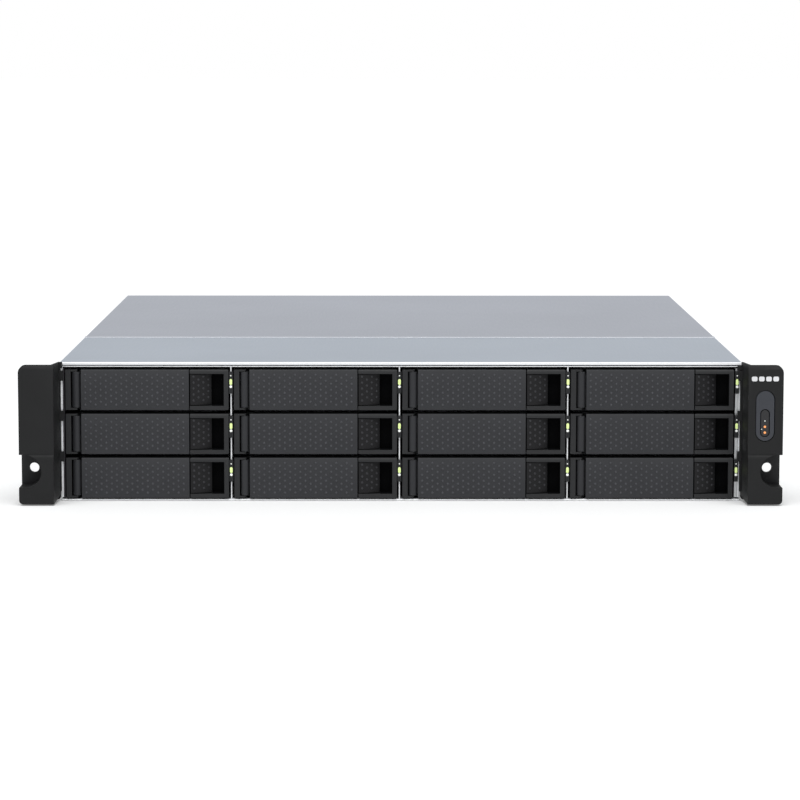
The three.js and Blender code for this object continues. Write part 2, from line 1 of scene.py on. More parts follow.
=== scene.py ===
"""Looks of a two-unit rack storage unit with twelve drive bays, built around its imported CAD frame.

Lengths in this script are millimetres in the frame's own axes: +X to the right of a person facing
the front, +Y to the rear, +Z up. They become metres when a mesh is made.
"""

import math

import bmesh
import bpy
from mathutils import Matrix, Vector


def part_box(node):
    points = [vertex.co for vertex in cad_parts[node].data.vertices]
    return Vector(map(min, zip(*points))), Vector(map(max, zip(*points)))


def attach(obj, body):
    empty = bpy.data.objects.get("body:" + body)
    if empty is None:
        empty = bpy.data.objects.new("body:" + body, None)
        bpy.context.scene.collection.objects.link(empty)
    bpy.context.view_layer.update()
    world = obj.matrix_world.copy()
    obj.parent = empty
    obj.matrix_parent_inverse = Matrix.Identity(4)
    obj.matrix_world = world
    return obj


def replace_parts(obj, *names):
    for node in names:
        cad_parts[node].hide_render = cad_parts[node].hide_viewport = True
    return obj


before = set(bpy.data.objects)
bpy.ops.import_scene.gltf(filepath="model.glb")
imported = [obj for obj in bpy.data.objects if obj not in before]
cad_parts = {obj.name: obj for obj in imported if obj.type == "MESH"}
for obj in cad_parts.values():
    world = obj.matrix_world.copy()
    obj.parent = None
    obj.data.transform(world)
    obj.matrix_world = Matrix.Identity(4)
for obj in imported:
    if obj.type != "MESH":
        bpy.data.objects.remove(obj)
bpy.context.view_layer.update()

MM = 0.001
BAYS = 12
COLUMNS = 4


def corners(node):
    """The lowest and highest corner of a CAD node, in millimetres."""
    low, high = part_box(node)
    return low / MM, high / MM


# ---------------------------------------------------------------- places read from the frame

FRONT_LOW, FRONT_HIGH = corners("front_top_cover")
REAR_LOW, REAR_HIGH = corners("rear_top_cover")
TRAY_LOW, TRAY_HIGH = corners("tray_1")
LEVER_LOW, LEVER_HIGH = corners("tray_lever_1")
LATCH_LOW, LATCH_HIGH = corners("tray_latch_1")

CHASSIS_HALF = FRONT_HIGH.x
CHASSIS_FRONT = FRONT_LOW.y
CHASSIS_TOP = FRONT_HIGH.z
SHEET = REAR_HIGH.z - REAR_LOW.z

# A bay's pieces are drawn from the tray's lower left corner at its face.
FACE = TRAY_LOW.y
TRAY_INSET = 0.2
TRAY_LEFT = TRAY_LOW.x - TRAY_INSET
TRAY_BOTTOM = LEVER_LOW.z
TRAY_WIDTH = TRAY_HIGH.x - TRAY_LEFT
TRAY_HEIGHT = LEVER_HIGH.z - LEVER_LOW.z
TRAY_LENGTH = TRAY_HIGH.y - FACE
DRIVE_TOP = TRAY_HIGH.z - TRAY_BOTTOM


def bay_corner(number):
    """Where a bay's pieces are drawn from."""
    low, _ = corners(f"tray_lever_{number}")
    return Vector((TRAY_LEFT, FACE, TRAY_BOTTOM)) + low - LEVER_LOW


# ---------------------------------------------------------------- mesh building
# A mesh grows in a bmesh, in millimetres. An outline is a list of (a, b) points; one of these three
# says which axes a and b are, and which axis it is carried along.


def along_x(a, b, c):
    return (c, a, b)


def along_y(a, b, c):
    return (a, c, b)


def along_z(a, b, c):
    return (a, b, c)


# A box's corners are numbered with z changing fastest and x slowest.
BOX_FACES = (
    (0, 1, 3, 2), (4, 6, 7, 5),  # left, right
    (0, 4, 5, 1), (2, 3, 7, 6),  # front, rear
    (0, 2, 6, 4), (1, 5, 7, 3),  # bottom, top
)
WELD_DISTANCE = 0.0005
FLAT_ANGLE = 0.5  # degrees below which two faces count as one flat


def add_box(bm, low, high):
    xs, ys, zs = zip(low, high)
    verts = [bm.verts.new((x, y, z)) for x in xs for y in ys for z in zs]
    for quad in BOX_FACES:
        bm.faces.new([verts[index] for index in quad])


def add_prism(bm, outline, start, end, place):
    first = [bm.verts.new(place(a, b, start)) for a, b in outline]
    last = [bm.verts.new(place(a, b, end)) for a, b in outline]
    bm.faces.new(first[::-1])
    bm.faces.new(last)
    for index in range(len(outline)):
        bm.faces.new([first[index - 1], first[index], last[index], last[index - 1]])


def add_turned(bm, centre, profile, place, sides=24):
    """A profile of (radius, along) points turned about a line; radius 0 closes an end."""
    rings = []
    for radius, along in profile:
        ring = []
        for index in range(1 if radius == 0 else sides):
            turn = 2 * math.pi * index / sides
            a = centre[0] + radius * math.cos(turn)
            b = centre[1] + radius * math.sin(turn)
            ring.append(bm.verts.new(place(a, b, along)))
        rings.append(ring)
    for lower, upper in zip(rings, rings[1:]):
        for index in range(sides):
            loop = [lower[index % len(lower)], lower[(index + 1) % len(lower)]]
            loop += [upper[(index + 1) % len(upper)], upper[index % len(upper)]]
            bm.faces.new(list(dict.fromkeys(loop)))


def add_round(bm, centre, radius, start, end, place, sides=24, edge=0.0):
    """A closed cylinder, with a small chamfer on both rims where edge is given."""
    profile = [(0, start), (radius, start), (radius, end), (0, end)]
    if edge:
        profile = [(0, start), (radius - edge, start), (radius, start + edge)]
        profile += [(radius, end - edge), (radius - edge, end), (0, end)]
    add_turned(bm, centre, profile, place, sides)


def arc(centre, radius, start, end, steps):
    """Points on an arc, angles in degrees."""
    points = []
    for step in range(steps + 1):
        turn = math.radians(start + (end - start) * step / steps)
        points.append((centre[0] + radius * math.cos(turn), centre[1] + radius * math.sin(turn)))
    return points


def rounded(low, high, radius, steps=5):
    """A rectangle outline with round corners."""
    x0, y0, x1, y1 = low[0] + radius, low[1] + radius, high[0] - radius, high[1] - radius
    outline = arc((x1, y1), radius, 0, 90, steps) + arc((x0, y1), radius, 90, 180, steps)
    return outline + arc((x0, y0), radius, 180, 270, steps) + arc((x1, y0), radius, 270, 360, steps)


def pill(centre, width, bottom, top, steps=12):
    radius = width / 2
    outline = arc((centre, top - radius), radius, 0, 180, steps)
    return outline + arc((centre, bottom + radius), radius, 180, 360, steps)


def temporary(bm):
    """A throwaway object that holds a bmesh."""
    bmesh.ops.recalc_face_normals(bm, faces=bm.faces)
    mesh = bpy.data.meshes.new("temporary")
    bm.to_mesh(mesh)
    bm.free()
    made = bpy.data.objects.new("temporary", mesh)
    bpy.context.scene.collection.objects.link(made)
    return made


def discard(*objects):
    for item in objects:
        mesh = item.data
        bpy.data.objects.remove(item)
        bpy.data.meshes.remove(mesh)


def combine(bm, tool, operation):
    """The first bmesh joined with, cut by or kept inside the second, as the operation says."""
    body = temporary(bm)
    other = temporary(tool)
    modifier = body.modifiers.new("combine", "BOOLEAN")
    modifier.operation = operation
    modifier.solver = "EXACT"
    modifier.use_self = True
    modifier.object = other
    result = bmesh.new()
    result.from_object(body, bpy.context.evaluated_depsgraph_get())
    discard(body, other)
    bmesh.ops.remove_doubles(result, verts=result.verts, dist=WELD_DISTANCE)
    angle = math.radians(FLAT_ANGLE)
    bmesh.ops.dissolve_limit(result, angle_limit=angle, verts=result.verts, edges=result.edges)
    return result


def make_mesh(name, bm, material, bevel=0.25, segments=2, smooth=40):
    """The final mesh in metres, with its edges rounded by bevel and smooth up to that angle."""
    made = temporary(bm)
    made.data.transform(Matrix.Scale(MM, 4))
    for polygon in made.data.polygons:
        polygon.use_smooth = True
    if bevel:
        modifier = made.modifiers.new("edges", "BEVEL")
        modifier.width = bevel * MM
        modifier.segments = segments
        modifier.limit_method = "ANGLE"
        modifier.angle_limit = math.radians(smooth)
        modifier.harden_normals = True
    depsgraph = bpy.context.evaluated_depsgraph_get()
    mesh = bpy.data.meshes.new_from_object(made.evaluated_get(depsgraph), depsgraph=depsgraph)
    discard(made)
    mesh.name = name
    if not bevel:
        mesh.set_sharp_from_angle(angle=math.radians(smooth))
    mesh.materials.clear()
    mesh.materials.append(material)
    return mesh


def put(name, mesh, body="root", at=(0, 0, 0)):
    """Places a mesh as a piece that rides on a body, its origin at a point in millimetres."""
    made = bpy.data.objects.new(name, mesh)
    bpy.context.scene.collection.objects.link(made)
    made.location = Vector(at) * MM
    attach(made, body)
    return made


def piece(name, bm, material, bevel=0.0, body="root", node=None, segments=2):
    """Makes one piece of a bmesh; where a node is named, the piece stands in for that CAD node."""
    made = put(name, make_mesh(name, bm, material, bevel, segments), body)
    if node:
        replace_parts(made, node)


# ---------------------------------------------------------------- materials


def node_material(name, base, roughness, metallic=0.0):
    material = bpy.data.materials.new(name)
    material.use_nodes = True
    shader = material.node_tree.nodes["Principled BSDF"]
    shader.inputs["Base Color"].default_value = (*base, 1)
    shader.inputs["Roughness"].default_value = roughness
    shader.inputs["Metallic"].default_value = metallic
    return material


# The variations span the middle of the noise's range.
NOISE_LOW = 0.3
NOISE_HIGH = 0.7


def noise_of(material, scale, detail=3.0, stretch=(1, 1, 1)):
    """A noise texture on object coordinates; scale is its number of grains in a metre."""
    nodes = material.node_tree.nodes
    links = material.node_tree.links
    place = nodes.new("ShaderNodeTexCoord")
    mapping = nodes.new("ShaderNodeMapping")
    mapping.inputs["Scale"].default_value = stretch
    noise = nodes.new("ShaderNodeTexNoise")
    noise.inputs["Scale"].default_value = scale
    noise.inputs["Detail"].default_value = detail
    links.new(place.outputs["Object"], mapping.inputs["Vector"])
    links.new(mapping.outputs["Vector"], noise.inputs["Vector"])
    return noise


def tone_variation(material, scale, spread, stretch=(1, 1, 1)):
    """Varies the base colour by plus or minus spread."""
    nodes = material.node_tree.nodes
    links = material.node_tree.links
    shader = nodes["Principled BSDF"]
    base = shader.inputs["Base Color"].default_value[:3]
    ramp = nodes.new("ShaderNodeValToRGB")
    ramp.color_ramp.elements[0].position = NOISE_LOW
    ramp.color_ramp.elements[1].position = NOISE_HIGH
    ramp.color_ramp.elements[0].color = (*[c * (1 - spread) for c in base], 1)
    ramp.color_ramp.elements[1].color = (*[min(1, c * (1 + spread)) for c in base], 1)
    links.new(noise_of(material, scale, stretch=stretch).outputs["Fac"], ramp.inputs["Fac"])
    links.new(ramp.outputs["Color"], shader.inputs["Base Color"])


def roughness_variation(material, scale, low, high, stretch=(1, 1, 1)):
    nodes = material.node_tree.nodes
    links = material.node_tree.links
    spread = nodes.new("ShaderNodeMapRange")
    spread.inputs["From Min"].default_value = NOISE_LOW
    spread.inputs["From Max"].default_value = NOISE_HIGH
    spread.inputs["To Min"].default_value = low
    spread.inputs["To Max"].default_value = high
    links.new(noise_of(material, scale, stretch=stretch).outputs["Fac"], spread.inputs["Value"])
    links.new(spread.outputs["Result"], nodes["Principled BSDF"].inputs["Roughness"])


def fine_relief(material, scale, height, stretch=(1, 1, 1), detail=2.0):
    """A bump of noise; height is in millimetres."""
    nodes = material.node_tree.nodes
    links = material.node_tree.links
    bump = nodes.new("ShaderNodeBump")
    bump.inputs["Strength"].default_value = 1.0
    bump.inputs["Distance"].default_value = height * MM
    noise = noise_of(material, scale, detail, stretch)
    links.new(noise.outputs["Fac"], bump.inputs["Height"])
    links.new(bump.outputs["Normal"], nodes["Principled BSDF"].inputs["Normal"])


def moulded_plastic(name, base, roughness, relief=0.012, shine=0.3):
    """Matt plastic with the fine spark-eroded texture of a mould."""
    material = node_material(name, base, roughness)
    material.node_tree.nodes["Principled BSDF"].inputs["Specular IOR Level"].default_value = shine
    tone_variation(material, 60, 0.06)
    roughness_variation(material, 900, roughness - 0.06, roughness + 0.06)
    fine_relief(material, 2600, relief)
    return material


def sheet_steel(name, base, roughness, metallic, relief=0.003, rolled=(1, 0.06, 1)):
    """Coated sheet: a soft cloudy tone, and a fine grain drawn out along the rolling direction."""
    material = node_material(name, base, roughness, metallic)
    tone_variation(material, 9, 0.025)
    roughness_variation(material, 700, roughness - 0.04, roughness + 0.04, rolled)
    fine_relief(material, 2200, relief, rolled)
    return material


def plain_metal(name, base, roughness, relief=0.005):
    material = node_material(name, base, roughness, 1.0)
    tone_variation(material, 120, 0.08)
    roughness_variation(material, 700, roughness - 0.05, roughness + 0.08)
    fine_relief(material, 1800, relief)
    return material


def circuit_board(name, base):
    """Solder mask over copper tracks, which show as faint ridges."""
    material = node_material(name, base, 0.35)
    tone_variation(material, 260, 0.25, (1, 0.15, 0.15))
    roughness_variation(material, 500, 0.28, 0.45)
    fine_relief(material, 420, 0.03, (1, 0.1, 0.1))
    return material


def lit_lens(name, base, glow):
    material = node_material(name, base, 0.25)
    shader = material.node_tree.nodes["Principled BSDF"]
    shader.inputs["Emission Color"].default_value = (*base, 1)
    shader.inputs["Emission Strength"].default_value = glow
    roughness_variation(material, 900, 0.2, 0.35)
    return material


COVER_STEEL = sheet_steel("cover_steel", (0.499, 0.520, 0.582), 0.42, 0.35)
FRONT_COVER_STEEL = sheet_steel("front_cover_steel", (0.506, 0.552, 0.622), 0.42, 0.35)
ZINC_STEEL = sheet_steel("zinc_steel", (0.60, 0.61, 0.62), 0.36, 0.85)
# Painted highlight: a near-white copy of the sheet steel, laid on hems, front edges and the dividers
# where light catches them.
HIGHLIGHT_STEEL = sheet_steel("highlight_steel", (0.90, 0.91, 0.93), 0.3, 0.2, 0.0004)
EAR_PLASTIC = moulded_plastic("ear_plastic", (0.0128, 0.0130, 0.0135), 0.55, 0.012, 0.22)
TRAY_PLASTIC = moulded_plastic("tray_plastic", (0.020, 0.0205, 0.022), 0.55)
LEVER_PLASTIC = moulded_plastic("lever_plastic", (0.0265, 0.0272, 0.0305), 0.55)
# Painted highlight: the lever's raised dots are lighter than the lever, standing in for the light their
# tops catch.
DOT_HIGHLIGHT_PLASTIC = moulded_plastic("dot_highlight_plastic", (0.058, 0.059, 0.066), 0.45, 0.002)
LATCH_PLASTIC = moulded_plastic("latch_plastic", (0.0105, 0.0103, 0.0113), 0.6, 0.012, 0.22)
# Painted highlight: the ramp's dots are lighter than the latch, standing in for the light their tops
# catch.
RAMP_DOT_HIGHLIGHT_PLASTIC = moulded_plastic("ramp_dot_highlight_plastic", (0.032, 0.032, 0.036), 0.45, 0.002)
# Painted shade: near-black plastic for the sheets that stand in for the shadow inside the finger
# recess.
RECESS_SHADE_PLASTIC = moulded_plastic("recess_shade_plastic", (0.003, 0.003, 0.0035), 0.8, 0.01, 0.05)
LINER_PLASTIC = moulded_plastic("liner_plastic", (0.045, 0.042, 0.048), 0.5)
BUTTON_PLASTIC = moulded_plastic("button_plastic", (0.043, 0.046, 0.055), 0.45, 0.006)
WINDOW_PLASTIC = moulded_plastic("window_plastic", (0.006, 0.006, 0.008), 0.16, 0.001, 0.5)
FAN_PLASTIC = moulded_plastic("fan_plastic", (0.012, 0.012, 0.013), 0.45, 0.01)
CONNECTOR_PLASTIC = moulded_plastic("connector_plastic", (0.010, 0.010, 0.011), 0.5, 0.006)
BLACK_STEEL = moulded_plastic("black_steel", (0.014, 0.0145, 0.016), 0.5, 0.02)
SCREW_STEEL = plain_metal("screw_steel", (0.52, 0.52, 0.53), 0.28)
DRIVE_CASTING = plain_metal("drive_casting", (0.42, 0.43, 0.45), 0.45, 0.03)
DRIVE_LID = plain_metal("drive_lid", (0.55, 0.56, 0.58), 0.3)
HEATSINK_METAL = plain_metal("heatsink_metal", (0.72, 0.73, 0.75), 0.32)
CONNECTOR_METAL = plain_metal("connector_metal", (0.56, 0.56, 0.57), 0.3)
GOLD_CONTACT = plain_metal("gold_contact", (0.85, 0.60, 0.25), 0.3)
BOARD_GREEN = circuit_board("board_green", (0.018, 0.10, 0.045))
LABEL_PAPER = moulded_plastic("label_paper", (0.75, 0.75, 0.73), 0.6, 0.003)
MARK_WHITE = moulded_plastic("mark_white", (0.75, 0.75, 0.77), 0.5, 0.002)
LENS_GREEN = lit_lens("lens_green", (0.74, 0.90, 0.36), 0.22)
LENS_WHITE = lit_lens("lens_white", (0.90, 0.92, 0.88), 0.2)
LENS_ORANGE = lit_lens("lens_orange", (0.85, 0.32, 0.10), 0.5)
TAB_PLASTIC = moulded_plastic("tab_plastic", (0.05, 0.16, 0.07), 0.45)


def repaint(node, material):
    """Gives a CAD node that stays in view its material."""
    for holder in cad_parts[node].material_slots:
        holder.material = material


# ---------------------------------------------------------------- stage

CAMERA_PLACE = Vector((-7.87, -2190.3, 292.3))
CAMERA_DOWN = 6.678
CAMERA_RIGHT = 0.216
CAMERA_ROLL = 0.04
CAMERA_LENS = 138.68
SENSOR_WIDTH = 36
AMBIENT_LIGHT = 0.45
OVERHEAD_LIGHT = 2.1
OVERHEAD_WIDTH = 60
OVERHEAD_LEAN = 25
FLOOR_HALF = 20000
FLOOR_HEIGHT = -0.2


def turn(degrees, axis):
    return Matrix.Rotation(math.radians(degrees), 4, axis)


def build_camera():
    data = bpy.data.cameras.new("camera")
    data.lens = CAMERA_LENS
    data.sensor_width = SENSOR_WIDTH
    data.clip_start = 0.05
    data.clip_end = 100
    camera = bpy.data.objects.new("camera", data)
    bpy.context.scene.collection.objects.link(camera)
    aim = turn(-CAMERA_RIGHT, "Z") @ turn(90 - CAMERA_DOWN, "X") @ turn(CAMERA_ROLL, "Z")
    camera.matrix_world = Matrix.Translation(CAMERA_PLACE * MM) @ aim
    bpy.context.scene.camera = camera


def build_floor():
    """A pale floor, large enough to reach the horizon."""
    half = FLOOR_HALF
    bm = bmesh.new()
    square = [(-half, -half), (half, -half), (half, half), (-half, half)]
    bm.faces.new([bm.verts.new((x, y, FLOOR_HEIGHT)) for x, y in square])
    material = node_material("floor", (0.95, 0.95, 0.95), 0.7)
    roughness_variation(material, 3, 0.65, 0.75)
    shader = material.node_tree.nodes["Principled BSDF"]
    shader.inputs["Specular IOR Level"].default_value = 0.1
    shader.inputs["Emission Color"].default_value = (1, 1, 1, 1)
    shader.inputs["Emission Strength"].default_value = 0.12
    floor = bpy.data.objects.new("floor", make_mesh("floor", bm, material, bevel=0))
    bpy.context.scene.collection.objects.link(floor)


def build_lights():
    """White to the camera, half as bright to the object, which a broad light from above completes."""
    world = bpy.data.worlds.new("studio")
    bpy.context.scene.world = world
    world.use_nodes = True
    nodes = world.node_tree.nodes
    links = world.node_tree.links
    seen = nodes["Background"]
    seen.inputs["Color"].default_value = (1, 1, 1, 1)
    seen.inputs["Strength"].default_value = 1.0
    ambient = nodes.new("ShaderNodeBackground")
    ambient.inputs["Color"].default_value = (0.97, 0.99, 1, 1)
    ambient.inputs["Strength"].default_value = AMBIENT_LIGHT
    choice = nodes.new("ShaderNodeMixShader")
    links.new(nodes.new("ShaderNodeLightPath").outputs["Is Camera Ray"], choice.inputs["Fac"])
    links.new(ambient.outputs["Background"], choice.inputs[1])
    links.new(seen.outputs["Background"], choice.inputs[2])
    links.new(choice.outputs["Shader"], nodes["World Output"].inputs["Surface"])
    data = bpy.data.lights.new("overhead", "SUN")
    data.energy = OVERHEAD_LIGHT
    data.angle = math.radians(OVERHEAD_WIDTH)
    light = bpy.data.objects.new("overhead", data)
    bpy.context.scene.collection.objects.link(light)
    light.matrix_world = turn(OVERHEAD_LEAN, "X")
    bpy.context.scene.view_settings.view_transform = "Standard"


build_camera()
build_floor()
build_lights()

# ---------------------------------------------------------------- covers and walls

HEM_RADIUS = 0.7
HEM_DROP = 1.7
RAIL_RECESS = 0.45
LIP_TOP = CHASSIS_TOP - 2.4
LIP_BOTTOM = CHASSIS_TOP - 3.1
RAIL_DEPTH = 14


def build_front_cover():
    """The fixed cover, its rolled front hem, and under the hem a cross rail; hem and rail edge are
    painted near white, a painted highlight.
    """
    front, rear, top = CHASSIS_FRONT, FRONT_HIGH.y, CHASSIS_TOP
    bend = (front + HEM_RADIUS, top - HEM_RADIUS)
    bm = bmesh.new()
    sheet_low = (-CHASSIS_HALF, front + HEM_RADIUS + 0.1, top - SHEET)
    add_box(bm, sheet_low, (CHASSIS_HALF, rear, top))
    piece("front_cover_sheet", bm, FRONT_COVER_STEEL, 0.06, node="front_top_cover")
    outline = [(front, top - HEM_DROP)] + arc(bend, HEM_RADIUS, 180, 90, 8)
    outline += [(bend[0], top - SHEET)] + arc(bend, 0.2, 90, 180, 2)
    outline.append((front + 0.6, top - HEM_DROP))
    bm = bmesh.new()
    add_prism(bm, outline, -CHASSIS_HALF, CHASSIS_HALF, along_x)
    # The rolled hem is painted near white: a painted highlight on its lit bend.
    piece("front_cover_hem", bm, HIGHLIGHT_STEEL)
    radius = (LIP_TOP - LIP_BOTTOM) / 2
    edge = arc((front + RAIL_RECESS + radius, LIP_BOTTOM + radius), radius, 270, 90, 8)
    outline = edge + [(front + RAIL_DEPTH, LIP_TOP), (front + RAIL_DEPTH, LIP_BOTTOM)]
    bm = bmesh.new()
    add_prism(bm, outline, 1 - CHASSIS_HALF, CHASSIS_HALF - 1, along_x)
    # The rail's rounded edge is painted near white: a painted highlight.
    piece("front_cross_rail", bm, HIGHLIGHT_STEEL)


LAP_LENGTH = 4.0
LAP_RISE = 0.55
LAP_GAP = 0.08
FLANGE_DROP = 12
FLANGE_LENGTH = 152


def build_rear_cover():
    """The removable cover: its front laps over the fixed one, its flanges hang inside the walls."""
    front, rear, top = REAR_LOW.y, REAR_HIGH.y, REAR_HIGH.z
    lap = front - LAP_LENGTH
    outline = [(lap, top + LAP_GAP), (lap, top + LAP_RISE), (front + 1, top + LAP_RISE)]
    outline += [(front + 3, top), (rear, top), (rear, top - SHEET), (front + 3, top - SHEET)]
    outline += [(front + 0.6, top - SHEET + 0.5), (front, top + LAP_GAP)]
    bm = bmesh.new()
    add_prism(bm, outline, -CHASSIS_HALF, CHASSIS_HALF, along_x)
    flanges = bmesh.new()
    for side in (-1, 1):
        left, right = sorted((side * (CHASSIS_HALF - 2.1), side * (CHASSIS_HALF - 1.2)))
        low = (left, front + 8, top - FLANGE_DROP)
        add_box(flanges, low, (right, front + 8 + FLANGE_LENGTH, top - SHEET / 2))
    bm = combine(bm, flanges, "UNION")
    piece("rear_cover_sheet", bm, COVER_STEEL, 0.12, "rear_cover", "rear_top_cover")
    radius = (LAP_RISE - LAP_GAP) / 2
    outline = arc((lap - 0.05, top + LAP_GAP + radius), radius, 270, 90, 8)
    bm = bmesh.new()
    add_prism(bm, outline, 0.2 - CHASSIS_HALF, CHASSIS_HALF - 0.2, along_x)
    # The lap's edge strip is painted near white: a painted highlight along the seam.
    piece("rear_cover_hem", bm, HIGHLIGHT_STEEL, 0, "rear_cover")


def add_holes(cuts, outline_at, xs, zs, start, end, place):
    """Cutters of one outline at every crossing of xs and zs."""
    for x in xs:
        for z in zs:
            add_prism(cuts, outline_at(x, z), start, end, place)


def spread(start, end, count):
    return [start + (end - start) * step / (count - 1) for step in range(count)]


def slot_outline(width, height):
    """Makes outlines of that size, with round ends, about any centre."""
    radius = min(width, height) / 2 - 0.01
    half_x, half_z = width / 2, height / 2
    return lambda x, z: rounded((x - half_x, z - half_z), (x + half_x, z + half_z), radius, 4)


WALL_EDGE = {"left": (0.3, 1.7), "right": (0.7, 1.6)}  # how far in from the wall's outside
RAIL_STUDS_Y = (-160, -60, 80, 200)
RAIL_STUDS_Z = 44
WALL_NOTCH_DEPTH = 1.3
WALL_NOTCH_HEIGHT = 2.2


def build_side_walls():
    """Walls with a front edge strip painted near white as a painted highlight, studs for the rack's
    rails, and two rows of air slots.
    """
    for side in ("left", "right"):
        low, high = corners(f"{side}_side_wall")
        sign = -1 if side == "left" else 1
        outer = sign * CHASSIS_HALF
        xs = sorted((outer, outer - sign * SHEET))
        bm = bmesh.new()
        notch_y, notch_z = low.y + WALL_NOTCH_DEPTH, high.z - WALL_NOTCH_HEIGHT
        profile = [(low.y, low.z), (high.y, low.z), (high.y, high.z), (notch_y, high.z)]
        profile += [(notch_y, notch_z), (low.y, notch_z)]
        add_prism(bm, profile, *xs, along_x)
        cuts = bmesh.new()
        through = (xs[0] - 1, xs[1] + 1, along_x)
        add_holes(cuts, slot_outline(3, 16), spread(-20, 12, 9), (34, 56), *through)
        add_holes(cuts, slot_outline(7, 7), RAIL_STUDS_Y, (RAIL_STUDS_Z,), *through)
        bm = combine(bm, cuts, "DIFFERENCE")
        piece(f"{side}_wall_sheet", bm, ZINC_STEEL, 0.12, node=f"{side}_side_wall")
        start, end = WALL_EDGE[side]
        edge = sorted((outer - sign * start, outer - sign * end))
        bm = bmesh.new()
        add_box(bm, (edge[0], low.y - 0.2, 2.2), (edge[1], low.y + 0.8, LIP_BOTTOM - 0.3))
        # The front edge strip is painted near white: a painted highlight.
        piece(f"{side}_wall_edge", bm, HIGHLIGHT_STEEL, 0.2)
        studs = bmesh.new()
        for y in RAIL_STUDS_Y:
            start, end = sorted((outer - sign * 1.6, outer + sign * 1.4))
            add_round(studs, (y, RAIL_STUDS_Z), 3.1, start, end, along_x, 20, 0.3)
        piece(f"{side}_rail_studs", studs, SCREW_STEEL)


def build_base_pan():
    """The pan with its folded front edge, and screws sunk into its underside."""
    low, high = corners("base_pan")
    bm = bmesh.new()
    add_box(bm, (low.x, low.y + 0.6, low.z), high)
    cuts = bmesh.new()
    add_holes(cuts, slot_outline(4, 22), spread(-60, 60, 11), (-20,), -1, SHEET + 1, along_z)
    bm = combine(bm, cuts, "DIFFERENCE")
    piece("base_pan_sheet", bm, ZINC_STEEL, 0.12, node="base_pan")
    bm = bmesh.new()
    outline = arc((low.y + 0.5, low.z + 0.5), 0.5, 270, 90, 8)
    outline += [(low.y + 7, low.z + 1.0), (low.y + 7, low.z)]
    add_prism(bm, outline, low.x + 0.5, high.x - 0.5, along_x)
    # The folded front edge is painted near white: a painted highlight.
    piece("base_pan_hem", bm, HIGHLIGHT_STEEL)
    bm = bmesh.new()
    for x in (-190, -64, 64, 190):
        for y in (-220, -60, 60, 240):
            add_round(bm, (x, y), 3, 0.05, 0.6, along_z, 20, 0.2)
    piece("base_pan_screws", bm, SCREW_STEEL)


def build_dividers():
    """Upright sheets with a rounded front edge, painted near white all over as a painted highlight for
    that lit edge.
    """
    for index in range(1, COLUMNS):
        low, high = corners(f"bay_divider_{index}")
        middle, half = (low.x + high.x) / 2, (high.x - low.x) / 2
        outline = arc((middle, low.y + half), half, 180, 360, 8)
        outline += [(high.x, high.y), (low.x, high.y)]
        bm = bmesh.new()
        add_prism(bm, outline, low.z, high.z, along_z)
        cuts = bmesh.new()
        slots = slot_outline(24, 8)
        ys = spread(low.y + 60, high.y - 30, 4)
        add_holes(cuts, slots, ys, (16, 44, 72), low.x - 1, high.x + 1, along_x)
        bm = combine(bm, cuts, "DIFFERENCE")
        # Painted near white: a painted highlight on the divider's front edge.
        piece(f"divider_{index}", bm, HIGHLIGHT_STEEL, node=f"bay_divider_{index}")


PORTS_LOW, PORTS_HIGH = corners("rear_ports")
SUPPLY_LOW, SUPPLY_HIGH = corners("power_supply")
CARD_SLOTS = (-22, 0, 22, 44)
VENT_WIDTH = 3.2
VENT_HEIGHT = 11


def build_rear_panel():
    """The rear panel: openings for connectors and supply, air vents, and four blanked card slots."""
    low, high = corners("rear_panel")
    bm = bmesh.new()
    add_prism(bm, rounded((low.x, low.z), (high.x, high.z), 1), low.y, high.y, along_y)
    cuts = bmesh.new()
    start, end = low.y - 1, high.y + 1
    add_box(cuts, (PORTS_LOW.x - 1, start, 6), (PORTS_HIGH.x + 1, end, PORTS_HIGH.z + 1))
    supply_low = (SUPPLY_LOW.x + 4, start, SUPPLY_LOW.z + 4)
    add_box(cuts, supply_low, (SUPPLY_HIGH.x - 4, end, SUPPLY_HIGH.z - 4))
    vent = slot_outline(VENT_WIDTH, VENT_HEIGHT)
    add_holes(cuts, vent, spread(-190, -52, 24), (51, 66, 80), start, end, along_y)
    add_holes(cuts, vent, spread(92, 118, 5), spread(16, 76, 5), start, end, along_y)
    for x in CARD_SLOTS:
        add_box(cuts, (x - 6, start, 12), (x + 6, end, 74))
    bm = combine(bm, cuts, "DIFFERENCE")
    piece("rear_panel_sheet", bm, ZINC_STEEL, 0.1, node="rear_panel")
    for number, x in enumerate(CARD_SLOTS, 1):
        bm = bmesh.new()
        add_prism(bm, rounded((x - 8, 8), (x + 8, 80), 1), low.y - 1.2, low.y - 0.2, along_y)
        cuts = bmesh.new()
        add_holes(cuts, slot_outline(7, 2), (x,), spread(18, 68, 11), low.y - 2, low.y, along_y)
        bm = combine(bm, cuts, "DIFFERENCE")
        piece(f"card_slot_cover_{number}", bm, ZINC_STEEL, 0.1)
    bm = bmesh.new()
    places = [(x, 77.5) for x in CARD_SLOTS]
    places += [(-208, 12), (-208, 76), (122, 12), (122, 76), (-40, 12)]
    for x, z in places:
        add_screw(bm, x, z, high.y)
    piece("rear_panel_screws", bm, SCREW_STEEL, 0.1)


